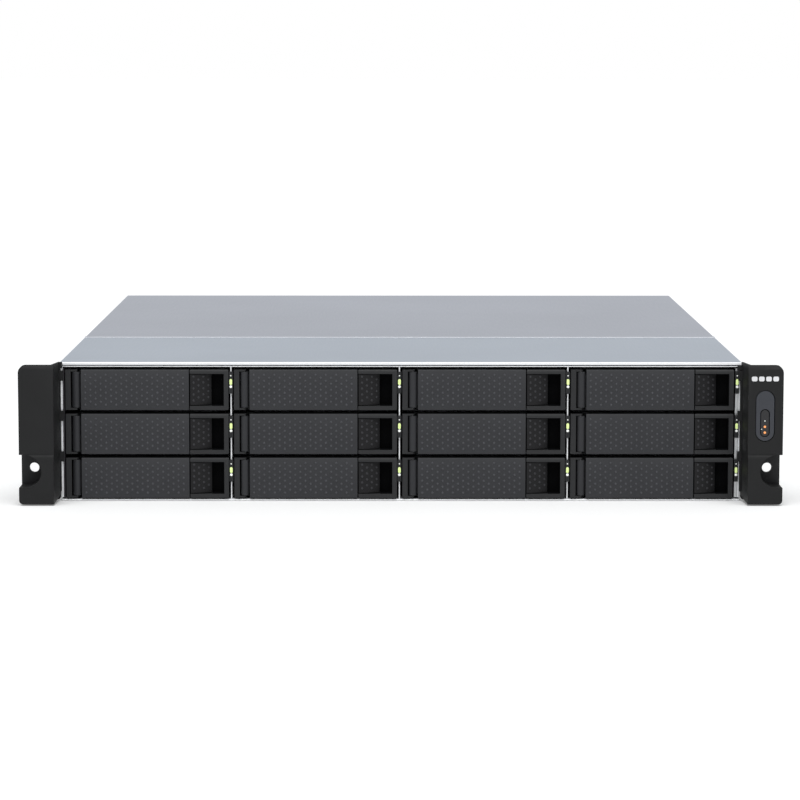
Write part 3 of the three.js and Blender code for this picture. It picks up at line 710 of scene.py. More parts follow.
def add_screw(bm, x, z, y, radius=2.6):
    """A pan head with a cross recess, its face at the rear."""
    head = bmesh.new()
    profile = [(0, y - 0.1), (radius, y - 0.1), (radius, y + 0.4)]
    profile += [(radius * 0.7, y + 0.9), (0, y + 1.0)]
    add_turned(head, (x, z), profile, along_y, 20)
    cross = bmesh.new()
    add_box(cross, (x - radius * 0.5, y + 0.4, z - 0.3), (x + radius * 0.5, y + 2, z + 0.3))
    other = bmesh.new()
    add_box(other, (x - 0.3, y + 0.4, z - radius * 0.5), (x + 0.3, y + 2, z + radius * 0.5))
    made = combine(combine(head, cross, "DIFFERENCE"), other, "DIFFERENCE")
    holder = bpy.data.meshes.new("screw")
    made.to_mesh(holder)
    made.free()
    bm.from_mesh(holder)
    bpy.data.meshes.remove(holder)


build_front_cover()
build_rear_cover()
build_side_walls()
build_base_pan()
build_dividers()
build_rear_panel()

# ---------------------------------------------------------------- drive bays

PANEL_LEFT = 10.2
PANEL_RIGHT = LEVER_HIGH.x - TRAY_LEFT
PANEL_DEPTH = 5.5
PIVOT = (7.0, 2.6)
BARREL_RADIUS = 2.6
CHEEK_RIGHT = 3.7
BORE_RADIUS = 0.75
PIN_RADIUS = 0.6
LUG_HEIGHT = 1.2
LUG_GAP = 0.3
BULKHEAD = 10
NOSE_DEPTH = 49
SECTION_LEFT = 79.3
WINDOW_LEFT = 79.3
WINDOW_RIGHT = 100.9
RECESS_BACK = 8.6
RIM = 2.6
CHAMFER_DROP = 0.75
CHAMFER_DEPTH = 0.6
DOT_PITCH_X = 3.27
DOT_PITCH_Z = 3.82
DOT_RADIUS = 0.75
DOT_HEIGHT = 0.3
RAMP_LEFT = LATCH_LOW.x - TRAY_LEFT
RAMP_RIGHT = LATCH_HIGH.x - TRAY_LEFT


def add_dot(bm, x, y, z, lean=0.0, size=1.0):
    """A low dome on a face at depth y, which leans by that angle about the upright."""
    steps = ((0, 0.5), (1, 0.5), (1, 0), (0.8, -0.55), (0.45, -0.9), (0, -1))
    start = len(bm.verts)
    profile = [(share * DOT_RADIUS * size, height * DOT_HEIGHT) for share, height in steps]
    add_turned(bm, (0, 0), profile, along_y, 10)
    bm.verts.ensure_lookup_table()
    lean_turn = Matrix.Rotation(lean, 4, "Z")
    for vert in bm.verts[start:]:
        vert.co = lean_turn @ vert.co + Vector((x, y, z))


def top_chamfer(left, right):
    """What a narrow chamfer takes off a tray's upper front edge."""
    steepness = CHAMFER_DROP / CHAMFER_DEPTH
    edge = [(-1, TRAY_HEIGHT - CHAMFER_DROP - steepness)]
    edge += [(CHAMFER_DEPTH + 1 / steepness, TRAY_HEIGHT + 1), (-1, TRAY_HEIGHT + 1)]
    bm = bmesh.new()
    add_prism(bm, edge, left, right, along_x)
    return bm


LEVER_SKIN = 1.2
LEVER_FACE = 1.8
LEVER_HOLLOWS = 4


def lever_mesh():
    """A panel, hollow at the back with three ribs, and the barrel that the pin goes through."""
    top = TRAY_HEIGHT
    bm = bmesh.new()
    add_box(bm, (PANEL_LEFT, 0, 0), (PANEL_RIGHT, PANEL_DEPTH, top))
    hollows = bmesh.new()
    width = (PANEL_RIGHT - PANEL_LEFT - LEVER_SKIN) / LEVER_HOLLOWS
    for index in range(LEVER_HOLLOWS):
        left = PANEL_LEFT + LEVER_SKIN + index * width
        high = (left + width - LEVER_SKIN, PANEL_DEPTH + 1, top - LEVER_SKIN)
        add_box(hollows, (left, LEVER_FACE, LEVER_SKIN), high)
    bm = combine(bm, hollows, "DIFFERENCE")
    arm = bmesh.new()
    ends = (LUG_HEIGHT + LUG_GAP, top - LUG_HEIGHT - LUG_GAP)
    add_round(arm, PIVOT, BARREL_RADIUS, *ends, along_z, 32, 0.2)
    add_box(arm, (PIVOT[0], 3.0, 3), (PANEL_LEFT + 0.6, 4.4, top - 3))
    bore = bmesh.new()
    add_round(bore, PIVOT, BORE_RADIUS, -1, top + 1, along_z, 16)
    bm = combine(bm, combine(arm, bore, "DIFFERENCE"), "UNION")
    bm = combine(bm, top_chamfer(PANEL_LEFT - 1, PANEL_RIGHT + 1), "DIFFERENCE")
    return make_mesh("lever", bm, LEVER_PLASTIC, 0.15)


def lever_dots_mesh():
    bm = bmesh.new()
    for column in range(20):
        odd = column % 2
        for row in range(6 - odd):
            z = TRAY_HEIGHT - 3.25 - DOT_PITCH_Z * (row + 0.5 * odd)
            add_dot(bm, 12.9 + column * DOT_PITCH_X, 0, z)
    # The dots' lighter plastic is a painted highlight.
    return make_mesh("lever_dots", bm, DOT_HIGHLIGHT_PLASTIC, 0, smooth=60)


def ramp_depth(x):
    """How deep the ramp's face is: it falls away faster towards the finger recess."""
    share = max(0.0, (x - RAMP_LEFT - 1.2) / (RAMP_RIGHT - RAMP_LEFT - 1.2))
    return 0.3 + 3.9 * (0.45 * share + 0.55 * share**3)


def latch_mesh():
    xs = [RAMP_LEFT + 1.2 + (RAMP_RIGHT - RAMP_LEFT - 1.2) * step / 12 for step in range(13)]
    outline = [(RAMP_LEFT, 0.5)] + [(x, ramp_depth(x)) for x in xs]
    outline += [(RAMP_RIGHT, 6.2), (RAMP_LEFT + 0.4, 2.6)]
    bm = bmesh.new()
    add_prism(bm, outline, RIM + 0.3, TRAY_HEIGHT - RIM - 0.3, along_z)
    return make_mesh("latch", bm, LATCH_PLASTIC, 0.3)


def latch_dots_mesh():
    bm = bmesh.new()
    for column in range(4):
        x = RAMP_LEFT + 2.4 + 3.1 * column
        lean = math.atan2(ramp_depth(x + 0.1) - ramp_depth(x), 0.1)
        odd = column % 2
        for row in range(5 - odd):
            z = TRAY_HEIGHT - 4.4 - DOT_PITCH_Z * (row + 0.5 * odd)
            add_dot(bm, x, ramp_depth(x), z, lean, 1.05)
    # The dots' lighter plastic is a painted highlight.
    return make_mesh("latch_dots", bm, RAMP_DOT_HIGHLIGHT_PLASTIC, 0, smooth=60)


def latch_spring_mesh():
    """A leaf that presses the ramp forward."""
    back = RECESS_BACK - 0.05
    outline = [(82, back), (82, back - 0.3), (85.4, 5.6), (86.6, 5.9), (86.5, 6.1), (85.5, 5.9)]
    outline.append((82.6, back))
    bm = bmesh.new()
    add_prism(bm, outline, 8, TRAY_HEIGHT - 8, along_z)
    return make_mesh("latch_spring", bm, SCREW_STEEL, 0)


def drive_screws_mesh():
    """Four flat heads that go through the rails into the drive's sides."""
    bm = bmesh.new()
    for y in (NOSE_DEPTH + 28.5, NOSE_DEPTH + 130):
        add_round(bm, (y, 6.4), 2.6, 0.08, 1.0, along_x, 20, 0.15)
        add_round(bm, (y, 6.4), 2.6, TRAY_WIDTH - 1.0, TRAY_WIDTH - 0.08, along_x, 20, 0.15)
    return make_mesh("drive_screws", bm, SCREW_STEEL, 0)


def carrier_mesh():
    """The tray's moulded nose: bulkhead with air slots, hinge cheek and lugs, the latch's frame."""
    top, right = TRAY_HEIGHT, TRAY_WIDTH
    bm = bmesh.new()
    add_box(bm, (0.2, BULKHEAD, 0), (right - 0.2, NOSE_DEPTH - 0.3, top))
    extra = bmesh.new()
    add_box(extra, (0.3, 0.4, 0), (CHEEK_RIGHT, BULKHEAD + 1, top))
    for bottom in (0, top - LUG_HEIGHT):
        lug = [(2, BULKHEAD + 1), (2, 0.7)]
        lug += arc((6.2, 2.6), 1.9, 270, 360, 5) + [(8.1, BULKHEAD + 1)]
        add_prism(extra, lug, bottom, bottom + LUG_HEIGHT, along_z)
    add_prism(extra, rounded((SECTION_LEFT, 0), (right, top), 0.6), 0, BULKHEAD + 1, along_y)
    bm = combine(bm, extra, "UNION")
    cuts = bmesh.new()
    add_box(cuts, (SECTION_LEFT - 1, -1, RIM), (WINDOW_RIGHT, BULKHEAD, top - RIM))
    add_box(cuts, (2.4, BULKHEAD + 2, 2), (right - 2.4, NOSE_DEPTH + 1, top + 1))
    for index in range(8):
        left = 14 + 8 * index
        slot = rounded((left, 4), (left + 5.5, top - 4), 2)
        add_prism(cuts, slot, BULKHEAD - 1, BULKHEAD + 3, along_y)
    bm = combine(bm, cuts, "DIFFERENCE")
    bm = combine(bm, top_chamfer(SECTION_LEFT - 1, right + 1), "DIFFERENCE")
    return make_mesh("carrier", bm, TRAY_PLASTIC, 0.15)


def recess_shade_mesh():
    """Painted shade: near-black sheets behind the latch and around the finger recess, standing in for
    the shadow inside it.
    """
    bottom, top, skin = RIM + 0.05, TRAY_HEIGHT - RIM - 0.05, 0.3
    right = WINDOW_RIGHT - 0.05
    bm = bmesh.new()
    add_box(bm, (WINDOW_LEFT + 0.1, RECESS_BACK, bottom), (right, BULKHEAD - 0.05, top))
    add_box(bm, (right - skin, 0.6, bottom), (right, RECESS_BACK - 0.1, top))
    for low in (bottom, top - skin):
        add_box(bm, (93.2, 0.6, low), (right - skin - 0.05, RECESS_BACK - 0.1, low + skin))
    return make_mesh("recess", bm, RECESS_SHADE_PLASTIC, 0.05, 1)


def rails_mesh():
    """The steel side rails that hold the drive, with openings for its screws and for the air."""
    end = TRAY_LENGTH - 6
    bm = bmesh.new()
    add_box(bm, (0.2, NOSE_DEPTH - 8, 3), (0.95, end, 22))
    add_box(bm, (TRAY_WIDTH - 0.95, NOSE_DEPTH - 8, 3), (TRAY_WIDTH - 0.2, end, 22))
    cuts = bmesh.new()
    for y in (NOSE_DEPTH + 16, NOSE_DEPTH + 58, NOSE_DEPTH + 100):
        add_prism(cuts, rounded((y, 9), (y + 26, 17), 3.5), -1, TRAY_WIDTH + 1, along_x)
    return make_mesh("rails", combine(bm, cuts, "DIFFERENCE"), ZINC_STEEL, 0.1, 1)


def drive_mesh():
    """A 3.5 inch drive's casting, with rounded corners."""
    low, high = (1.1, NOSE_DEPTH), (TRAY_WIDTH - 1.1, TRAY_LENGTH)
    bm = bmesh.new()
    add_prism(bm, rounded(low, high, 3), 0.6, DRIVE_TOP - 1.6, along_z)
    return make_mesh("drive", bm, DRIVE_CASTING, 0.4)


def drive_lid_mesh():
    low, high = (3.0, NOSE_DEPTH + 2), (TRAY_WIDTH - 3.0, TRAY_LENGTH - 12)
    bm = bmesh.new()
    add_prism(bm, rounded(low, high, 7), DRIVE_TOP - 1.7, DRIVE_TOP - 0.5, along_z)
    raised = bmesh.new()
    add_round(raised, (40, NOSE_DEPTH + 40), 16, DRIVE_TOP - 1.0, DRIVE_TOP - 0.1, along_z, 40, 0.3)
    for x in (7, TRAY_WIDTH / 2, TRAY_WIDTH - 7):
        for y in (NOSE_DEPTH + 6, TRAY_LENGTH - 17):
            add_round(raised, (x, y), 2.1, DRIVE_TOP - 1.0, DRIVE_TOP, along_z, 16, 0.2)
    return make_mesh("drive_lid", combine(bm, raised, "UNION"), DRIVE_LID, 0.2)


def drive_label_mesh():
    bm = bmesh.new()
    outline = rounded((14, NOSE_DEPTH + 64), (TRAY_WIDTH - 14, TRAY_LENGTH - 24), 2)
    add_prism(bm, outline, DRIVE_TOP - 0.45, DRIVE_TOP - 0.3, along_z)
    return make_mesh("drive_label", bm, LABEL_PAPER, 0)


def pin_mesh():
    bm = bmesh.new()
    add_round(bm, PIVOT, PIN_RADIUS, 0.2, TRAY_HEIGHT - 0.2, along_z, 16, 0.15)
    return make_mesh("pin", bm, SCREW_STEEL, 0)


def build_bays():
    lever, lever_dots = lever_mesh(), lever_dots_mesh()
    latch, latch_dots = latch_mesh(), latch_dots_mesh()
    carrier, recess, rails, pin = carrier_mesh(), recess_shade_mesh(), rails_mesh(), pin_mesh()
    drive, lid, label = drive_mesh(), drive_lid_mesh(), drive_label_mesh()
    spring, screws = latch_spring_mesh(), drive_screws_mesh()
    for number in range(1, BAYS + 1):
        at = bay_corner(number)
        tray, arm, rocker = f"tray_{number}", f"lever_{number}", f"latch_{number}"
        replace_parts(put(f"carrier_{number}", carrier, tray, at), tray)
        # Painted shade inside the finger recess.
        put(f"finger_recess_shade_{number}", recess, tray, at)
        put(f"carrier_rails_{number}", rails, tray, at)
        put(f"drive_{number}", drive, tray, at)
        put(f"drive_lid_{number}", lid, tray, at)
        put(f"drive_label_{number}", label, tray, at)
        put(f"hinge_pin_{number}", pin, tray, at)
        put(f"latch_spring_{number}", spring, tray, at)
        put(f"drive_screws_{number}", screws, tray, at)
        panel = put(f"lever_panel_{number}", lever, arm, at)
        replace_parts(panel, f"tray_lever_{number}")
        put(f"lever_dots_{number}", lever_dots, arm, at)
        ramp = put(f"latch_ramp_{number}", latch, rocker, at)
        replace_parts(ramp, f"tray_latch_{number}")
        put(f"latch_dots_{number}", latch_dots, rocker, at)


build_bays()

# ---------------------------------------------------------------- light guides and cage edges

GUIDE_BOTTOM = 10.5
GUIDE_TOP = 24.5
LENS_BOTTOM = 16.1
LENS_TOP = 19.9


def light_guide_mesh():
    """The black housing that clips over the sheet's edge; drawn from the sheet's middle."""
    bm = bmesh.new()
    add_prism(bm, rounded((-1.3, GUIDE_BOTTOM), (1.3, GUIDE_TOP), 0.5), -1.6, 9, along_y)
    return make_mesh("light_guide", bm, BLACK_STEEL, 0.2)


def light_lens_mesh():
    bm = bmesh.new()
    add_prism(bm, pill(0, 1.7, LENS_BOTTOM, LENS_TOP), -2.0, -1.2, along_y)
    return make_mesh("light_lens", bm, LENS_GREEN, 0.25)


def light_dots_mesh():
    bm = bmesh.new()
    for z, radius in ((22.0, 0.42), (15.0, 0.85)):
        profile = [(0, -1.2), (radius, -1.2), (radius, -1.8), (radius * 0.6, -2.1), (0, -2.2)]
        add_turned(bm, (0, z), profile, along_y, 16)
    return make_mesh("light_dots", bm, LENS_WHITE, 0)


def build_light_guides():
    guide, lens, dots = light_guide_mesh(), light_lens_mesh(), light_dots_mesh()
    for number in range(1, BAYS + 1):
        column = (number - 1) % COLUMNS
        if column < COLUMNS - 1:
            low, high = corners(f"bay_divider_{column + 1}")
            middle = (low.x + high.x) / 2
        else:
            middle = CHASSIS_HALF - 2.75
        at = Vector((middle, CHASSIS_FRONT, bay_corner(number).z))
        put(f"light_guide_{number}", guide, "root", at)
        put(f"light_lens_{number}", lens, "root", at)
        put(f"light_dots_{number}", dots, "root", at)


build_light_guides()


def build_cage_liners():
    """A moulded liner left of the first trays, and a folded strip behind the right light guides."""
    bottom, top = bay_corner(BAYS).z, LIP_BOTTOM - 1
    right = TRAY_LEFT + 3 * (corners("tray_2")[0].x - TRAY_LOW.x) + TRAY_WIDTH
    for name, left, end, front, material, slot in (
        ("left", 1.6 - CHASSIS_HALF, TRAY_LEFT - 0.5, -0.2, LINER_PLASTIC, "tray_plastic"),
        ("right", right + 1.2, CHASSIS_HALF - 1.2, 2.2, ZINC_STEEL, "zinc_steel"),
    ):
        bm = bmesh.new()
        add_box(bm, (left, CHASSIS_FRONT + front, bottom), (end, CHASSIS_FRONT + 40, top))
        piece(f"{name}_cage_liner", bm, material, 0.2)


build_cage_liners()

# ---------------------------------------------------------------- ears
# Drawn for the right side; the left one is its mirror image.

EAR_LOW, EAR_HIGH = corners("right_ear")
EAR_FRONT = EAR_LOW.y
EAR_BOTTOM = EAR_LOW.z
EAR_TOP = EAR_HIGH.z
EAR_OUTER = EAR_HIGH.x
EAR_COVER_OUTER = EAR_OUTER - 0.6
EAR_FACE_INNER = 218.8
EAR_INNER = EAR_LOW.x
FLANGE_FRONT = EAR_FRONT + 21
FLANGE_REAR = EAR_FRONT + 24
RACK_HOLE = (233.2, 21.4)
RACK_HOLE_RADIUS = 3.1
POCKET = (236.9, 21.6)
POCKET_RADIUS = 10.4
LIP_EDGE_TOP = POCKET[1] + POCKET_RADIUS
LIP_EDGE_ROUND = 4.6
EAR_CHAMFER_DROP = 3
EAR_CHAMFER_DEPTH = 2
EAR_SLOPE = 4
HOOKS = {
    "left": ((0.25, 6, 82), (1.5, 84.8, 88.85)),
    "right": ((0.7, 6, 82), (2.6, 83.6, 86.6)),
}
BUTTON_LOW, BUTTON_HIGH = corners("power_button")
EAR_FACE = BUTTON_LOW.y - 0.2
PILL_X = (BUTTON_LOW.x + BUTTON_HIGH.x) / 2
BUTTON_WIDTH = BUTTON_HIGH.x - BUTTON_LOW.x


def ear_cover(with_button):
    """The moulded cover: its inner side leans, its lower part stands proud with a rounded lip."""
    bm = bmesh.new()
    rear = FLANGE_FRONT - 0.1
    plan = [(EAR_FACE_INNER, EAR_FRONT), (EAR_COVER_OUTER, EAR_FRONT), (EAR_COVER_OUTER, rear)]
    plan += [(EAR_INNER, rear)]
    add_prism(bm, plan, -1, EAR_TOP + 1, along_z)
    outline = [(EAR_FACE_INNER, EAR_BOTTOM)]
    outline += arc((EAR_COVER_OUTER - 2.5, EAR_BOTTOM + 2.5), 2.5, 270, 360, 6)
    outline += arc((EAR_COVER_OUTER - 5, EAR_TOP - 5), 5, 0, 90, 8)
    outline += [(EAR_INNER - 1, EAR_TOP), (EAR_INNER - 1, EAR_BOTTOM + 4.5)]
    shape = bmesh.new()
    add_prism(shape, outline, EAR_FRONT - 1, rear + 1, along_y)
    bm = combine(bm, shape, "INTERSECT")
    left, right, over = EAR_INNER - 1, EAR_OUTER + 1, EAR_TOP + 1
    setback = EAR_FACE - EAR_FRONT
    face_cut = [(EAR_FRONT - 1, over), (EAR_FRONT - 1, LIP_EDGE_TOP - LIP_EDGE_ROUND)]
    for step in range(17):
        angle = math.pi / 2 * step / 16
        depth = setback * (1 - math.cos(angle))
        drop = LIP_EDGE_ROUND * (1 - math.sin(angle))
        face_cut.append((EAR_FRONT + depth, LIP_EDGE_TOP - drop))
    face_cut.append((EAR_FACE, over))
    cuts = bmesh.new()
    add_prism(cuts, face_cut, left, right, along_x)
    bm = combine(bm, cuts, "DIFFERENCE")
    steepness = EAR_CHAMFER_DROP / EAR_CHAMFER_DEPTH
    chamfer = [(EAR_FACE - 1, EAR_TOP - EAR_CHAMFER_DROP - steepness), (EAR_FACE - 1, over)]
    chamfer.append((EAR_FACE + EAR_CHAMFER_DEPTH + 1 / steepness, over))
    cuts = bmesh.new()
    add_prism(cuts, chamfer, left, right, along_x)
    bm = combine(bm, cuts, "DIFFERENCE")
    slope_front = EAR_FACE + EAR_CHAMFER_DEPTH
    slope = [(slope_front, EAR_TOP + 0.2), (rear + 1, EAR_TOP - EAR_SLOPE)]
    slope += [(rear + 1, over), (slope_front, over)]
    cuts = bmesh.new()
    add_prism(cuts, slope, EAR_FACE_INNER, right, along_x)
    for vert in cuts.verts:
        if vert.co.x < right - 1:
            share = (vert.co.y - EAR_FRONT) / (rear - EAR_FRONT)
            vert.co.x += 2.2 - share * (EAR_FACE_INNER + 1.2 - EAR_INNER)
    bm = combine(bm, cuts, "DIFFERENCE")
    cuts = bmesh.new()
    pocket = arc(POCKET, POCKET_RADIUS, 90, 270, 24)
    pocket += [(right, POCKET[1] - POCKET_RADIUS), (right, POCKET[1] + POCKET_RADIUS)]
    add_prism(cuts, pocket, EAR_FRONT - 1, rear + 1, along_y)
    if with_button:
        outline = pill(PILL_X, BUTTON_WIDTH + 0.6, BUTTON_LOW.z - 0.3, BUTTON_HIGH.z + 0.3, 20)
        add_prism(cuts, outline, EAR_FRONT - 1, EAR_FACE + 4.5, along_y)
    return combine(bm, cuts, "DIFFERENCE")


def ear_bracket():
    """The black steel flange that the rack screw goes through, with a lug along the side wall."""
    bm = bmesh.new()
    outline = rounded((EAR_INNER, EAR_BOTTOM), (EAR_OUTER, EAR_TOP - 4), 2)
    add_prism(bm, outline, FLANGE_FRONT, FLANGE_REAR, along_y)
    lug = bmesh.new()
    lug_low, lug_high = (FLANGE_FRONT + 1, 6), (FLANGE_REAR + 38, 80)
    add_prism(lug, rounded(lug_low, lug_high, 3), EAR_INNER, EAR_INNER + 1.6, along_x)
    wall = [(FLANGE_FRONT + 1, 70), (FLANGE_REAR + 3, 70), (FLANGE_REAR + 3, EAR_TOP - 0.5)]
    wall += [(FLANGE_FRONT + 1, EAR_TOP - 0.2)]
    add_prism(lug, wall, EAR_INNER, EAR_INNER + 1.4, along_x)
    bm = combine(bm, lug, "UNION")
    cuts = bmesh.new()
    add_round(cuts, RACK_HOLE, RACK_HOLE_RADIUS, FLANGE_FRONT - 1, FLANGE_REAR + 1, along_y, 32)
    return combine(bm, cuts, "DIFFERENCE")


def ear_clips(side):
    """Three hooks on the chassis's edge, a strip along it and a hook at its top."""
    bm = bmesh.new()
    right = CHASSIS_HALF + 1.6
    for z in (80.2, 54.5, 28.5):
        low = (CHASSIS_HALF - 2.2, CHASSIS_FRONT - 2.4, z - 3.2)
        add_box(bm, low, (right, CHASSIS_FRONT - 0.3, z + 3.2))
    for reach, bottom, top in HOOKS[side]:
        low = (CHASSIS_HALF - reach, CHASSIS_FRONT - 1.6, bottom)
        add_box(bm, low, (right, CHASSIS_FRONT - 0.35, top))
    return bm


def ear_screws():
    """Three countersunk screws through the lug."""
    bm = bmesh.new()
    for y, z in ((FLANGE_REAR + 12, 14), (FLANGE_REAR + 30, 43), (FLANGE_REAR + 12, 72)):
        add_round(bm, (y, z), 3, EAR_INNER + 1.2, EAR_INNER + 2.3, along_x, 20, 0.4)
    return bm


def on_side(bm, side):
    """The bmesh as it is for the right side, or mirrored for the left."""
    if side == "left":
        bmesh.ops.scale(bm, vec=(-1, 1, 1), verts=bm.verts)
    return bm


def build_ears():
    for side in ("left", "right"):
        cover = on_side(ear_cover(side == "right"), side)
        node = f"{side}_ear"
        piece(f"{side}_ear_cover", cover, EAR_PLASTIC, 0.5, node=node, segments=3)
        bracket = on_side(ear_bracket(), side)
        piece(f"{side}_ear_bracket", bracket, BLACK_STEEL, 0.08)
        clips = on_side(ear_clips(side), side)
        piece(f"{side}_ear_clips", clips, EAR_PLASTIC, 0.2)
        screws = on_side(ear_screws(), side)
        piece(f"{side}_ear_screws", screws, SCREW_STEEL)


build_ears()


MARK_LEFT = 220.6
MARK_PITCH = 4.5
MARK_BOTTOM = 78.8
MARK_TOP = 81.8


def build_button():
    """Power button, status window with its lights, and a plain mark of four blocks above them."""
    low, high = BUTTON_LOW, BUTTON_HIGH
    window_low, window_high = corners("status_window")
    bm = bmesh.new()
    add_prism(bm, pill(PILL_X, BUTTON_WIDTH, low.z, high.z, 24), low.y, high.y, along_y)
    cuts = bmesh.new()
    width = window_high.x - window_low.x
    slot = pill(PILL_X, width + 0.5, window_low.z - 0.25, window_high.z + 0.25, 20)
    add_prism(cuts, slot, low.y - 1, high.y + 1, along_y)
    bm = combine(bm, cuts, "DIFFERENCE")
    body = node = "power_button"
    piece("button_cap", bm, BUTTON_PLASTIC, 0.5, body, node, 3)
    bm = bmesh.new()
    outline = pill(PILL_X, width, window_low.z, window_high.z, 24)
    add_prism(bm, outline, window_low.y, window_high.y, along_y)
    node = "status_window"
    piece("window_lens", bm, WINDOW_PLASTIC, 0.4, node=node, segments=3)
    face = window_low.y
    for name, lens, places in (
        ("status_light_white", LENS_WHITE, ((PILL_X, 53.6, 0.35), (PILL_X - 2.0, 48.4, 0.28))),
        ("status_lights_orange", LENS_ORANGE, ((PILL_X, 49.9, 0.75), (PILL_X, 46.2, 0.75))),
    ):
        bm = bmesh.new()
        for x, z, radius in places:
            profile = [(0, face + 0.3), (radius, face + 0.3)]
            profile += [(radius, face - 0.05), (0, face - 0.1)]
            add_turned(bm, (x, z), profile, along_y, 16)
        piece(name, bm, lens)
    bm = bmesh.new()
    for index in range(4):
        left = MARK_LEFT + index * MARK_PITCH
        block = rounded((left, MARK_BOTTOM), (left + MARK_PITCH - 1, MARK_TOP), 0.9)
        add_prism(bm, block, EAR_FACE - 0.06, EAR_FACE + 0.1, along_y)
    piece("ear_mark", bm, MARK_WHITE)


build_button()

# ---------------------------------------------------------------- backplane

PLANE_LOW, PLANE_HIGH = corners("backplane")


def drive_connector_mesh():
    """The socket that a drive plugs into, drawn from its bay's corner."""
    front = PLANE_LOW.y - FACE - 2.4
    bm = bmesh.new()
    add_prism(bm, rounded((22, 2.6), (66, 7.6), 0.8), front, PLANE_LOW.y - FACE, along_y)
    cuts = bmesh.new()
    add_box(cuts, (24, front - 1, 4.2), (43, front + 1.8, 6.0))
    add_box(cuts, (46, front - 1, 4.2), (63, front + 1.8, 6.0))
    return make_mesh("drive_connector", combine(bm, cuts, "DIFFERENCE"), CONNECTOR_PLASTIC, 0.15)


def build_backplane():
    repaint("backplane", BOARD_GREEN)
    connector = drive_connector_mesh()
    for number in range(1, BAYS + 1):
        put(f"drive_connector_{number}", connector, "root", bay_corner(number))
    rear = PLANE_HIGH.y
    sockets, parts, chips = bmesh.new(), bmesh.new(), bmesh.new()
    for x in (-188, -84, 84, 188):
        add_prism(sockets, rounded((x - 9, 4.5), (x + 9, 12), 0.6), rear, rear + 6.5, along_y)
    for x in spread(-200, 200, 17):
        add_round(parts, (x, 25), 1.9, rear, rear + 5.2, along_y, 16, 0.3)
        add_box(chips, (x - 6, rear, 53.0), (x - 2, rear + 1.1, 57.0))
    for name, bm, material, slot in (
        ("backplane_power_sockets", sockets, CONNECTOR_PLASTIC, "fan_plastic"),
        ("backplane_capacitors", parts, CONNECTOR_METAL, "connector_metal"),
        ("backplane_chips", chips, CONNECTOR_PLASTIC, "fan_plastic"),
    ):
        piece(name, bm, material, 0.12, segments=1)


build_backplane()

# ---------------------------------------------------------------- fans


def turn_on_y(bm, degrees):
    matrix = Matrix.Rotation(math.radians(degrees), 3, "Y")
    bmesh.ops.rotate(bm, cent=(0, 0, 0), matrix=matrix, verts=bm.verts)


FAN_HOLE_PLACES = (-35.7, 35.7)
FAN_HOLE_RADIUS = 2.2
MOTOR_RADIUS = 16
STRUT_ANGLES = (35, 125, 215, 305)


def fan_frame_mesh(low, high):
    """A square frame with a belled bore, corner holes, and four struts to the motor's plate."""
    half = (high.x - low.x) / 2
    depth = high.y - low.y
    bm = bmesh.new()
    add_prism(bm, rounded((-half, -half), (half, half), 4), 0, depth, along_y)
    cuts = bmesh.new()
    bell = [(0, -1), (39.4, -1), (39.4, 0.6), (38, 4)]
    bell += [(38, depth - 4), (39.2, depth - 0.6), (39.2, depth + 1), (0, depth + 1)]
    add_turned(cuts, (0, 0), bell, along_y, 64)
    for x in FAN_HOLE_PLACES:
        for z in FAN_HOLE_PLACES:
            add_round(cuts, (x, z), FAN_HOLE_RADIUS, -1, depth + 1, along_y, 16)
    bm = combine(bm, cuts, "DIFFERENCE")
    waist = bmesh.new()
    for sign in (-1, 1):
        start, end = sorted((sign * (half - 1.6), sign * (half + 1)))
        add_box(waist, (start, 5, -28), (end, depth - 5, 28))
        add_box(waist, (-28, 5, start), (28, depth - 5, end))
    bm = combine(bm, waist, "DIFFERENCE")
    struts = bmesh.new()
    add_round(struts, (0, 0), MOTOR_RADIUS, depth - 3, depth, along_y, 40, 0.4)
    bm = combine(bm, struts, "UNION")
    for angle in STRUT_ANGLES:
        strut = bmesh.new()
        add_box(strut, (14, depth - 2.8, -1.3), (38.6, depth - 0.3, 1.3))
        turn_on_y(strut, angle)
        bm = combine(bm, strut, "UNION")
    return make_mesh("fan_frame", bm, FAN_PLASTIC, 0.2)


def fan_rotor_mesh():
    """A cup with seven blades that twist from root to tip."""
    bm = bmesh.new()
    profile = [(0, 6), (14.5, 6), (16, 7.5), (16, 28), (0, 28)]
    add_turned(bm, (0, 0), profile, along_y, 48)
    for blade in range(7):
        base = math.radians(blade * 360 / 7)
        rows = []
        for step in range(6):
            radius = 14.5 + 21.5 * step / 5
            twist = math.radians(48 - 3.4 * step)
            row = []
            for across in (-1, -0.5, 0, 0.5, 1):
                along = 17 - 9.5 * across * math.sin(twist)
                sideways = 9.5 * across * math.cos(twist) + 1.2 * (1 - across * across) + 0.9 * step
                swing = base + sideways / radius
                row.append((radius * math.cos(swing), along, radius * math.sin(swing)))
            rows.append(row)
        faces = [[bm.verts.new(point) for point in row] for row in rows]
        backs = [[bm.verts.new((x, y + 1.3, z)) for x, y, z in row] for row in rows]
        last = len(rows[0]) - 1
        for step in range(len(rows) - 1):
            for across in range(last):
                for grid, order in ((faces, 1), (backs, -1)):
                    quad = [grid[step][across], grid[step][across + 1]]
                    quad += [grid[step + 1][across + 1], grid[step + 1][across]]
                    bm.faces.new(quad[::order])
            for across in (0, last):
                edge = [faces[step][across], faces[step + 1][across]]
                bm.faces.new(edge + [backs[step + 1][across], backs[step][across]])
        for step in (0, len(rows) - 1):
            for across in range(last):
                edge = [faces[step][across], faces[step][across + 1]]
                bm.faces.new(edge + [backs[step][across + 1], backs[step][across]])
    return make_mesh("fan_rotor", bm, FAN_PLASTIC, 0)


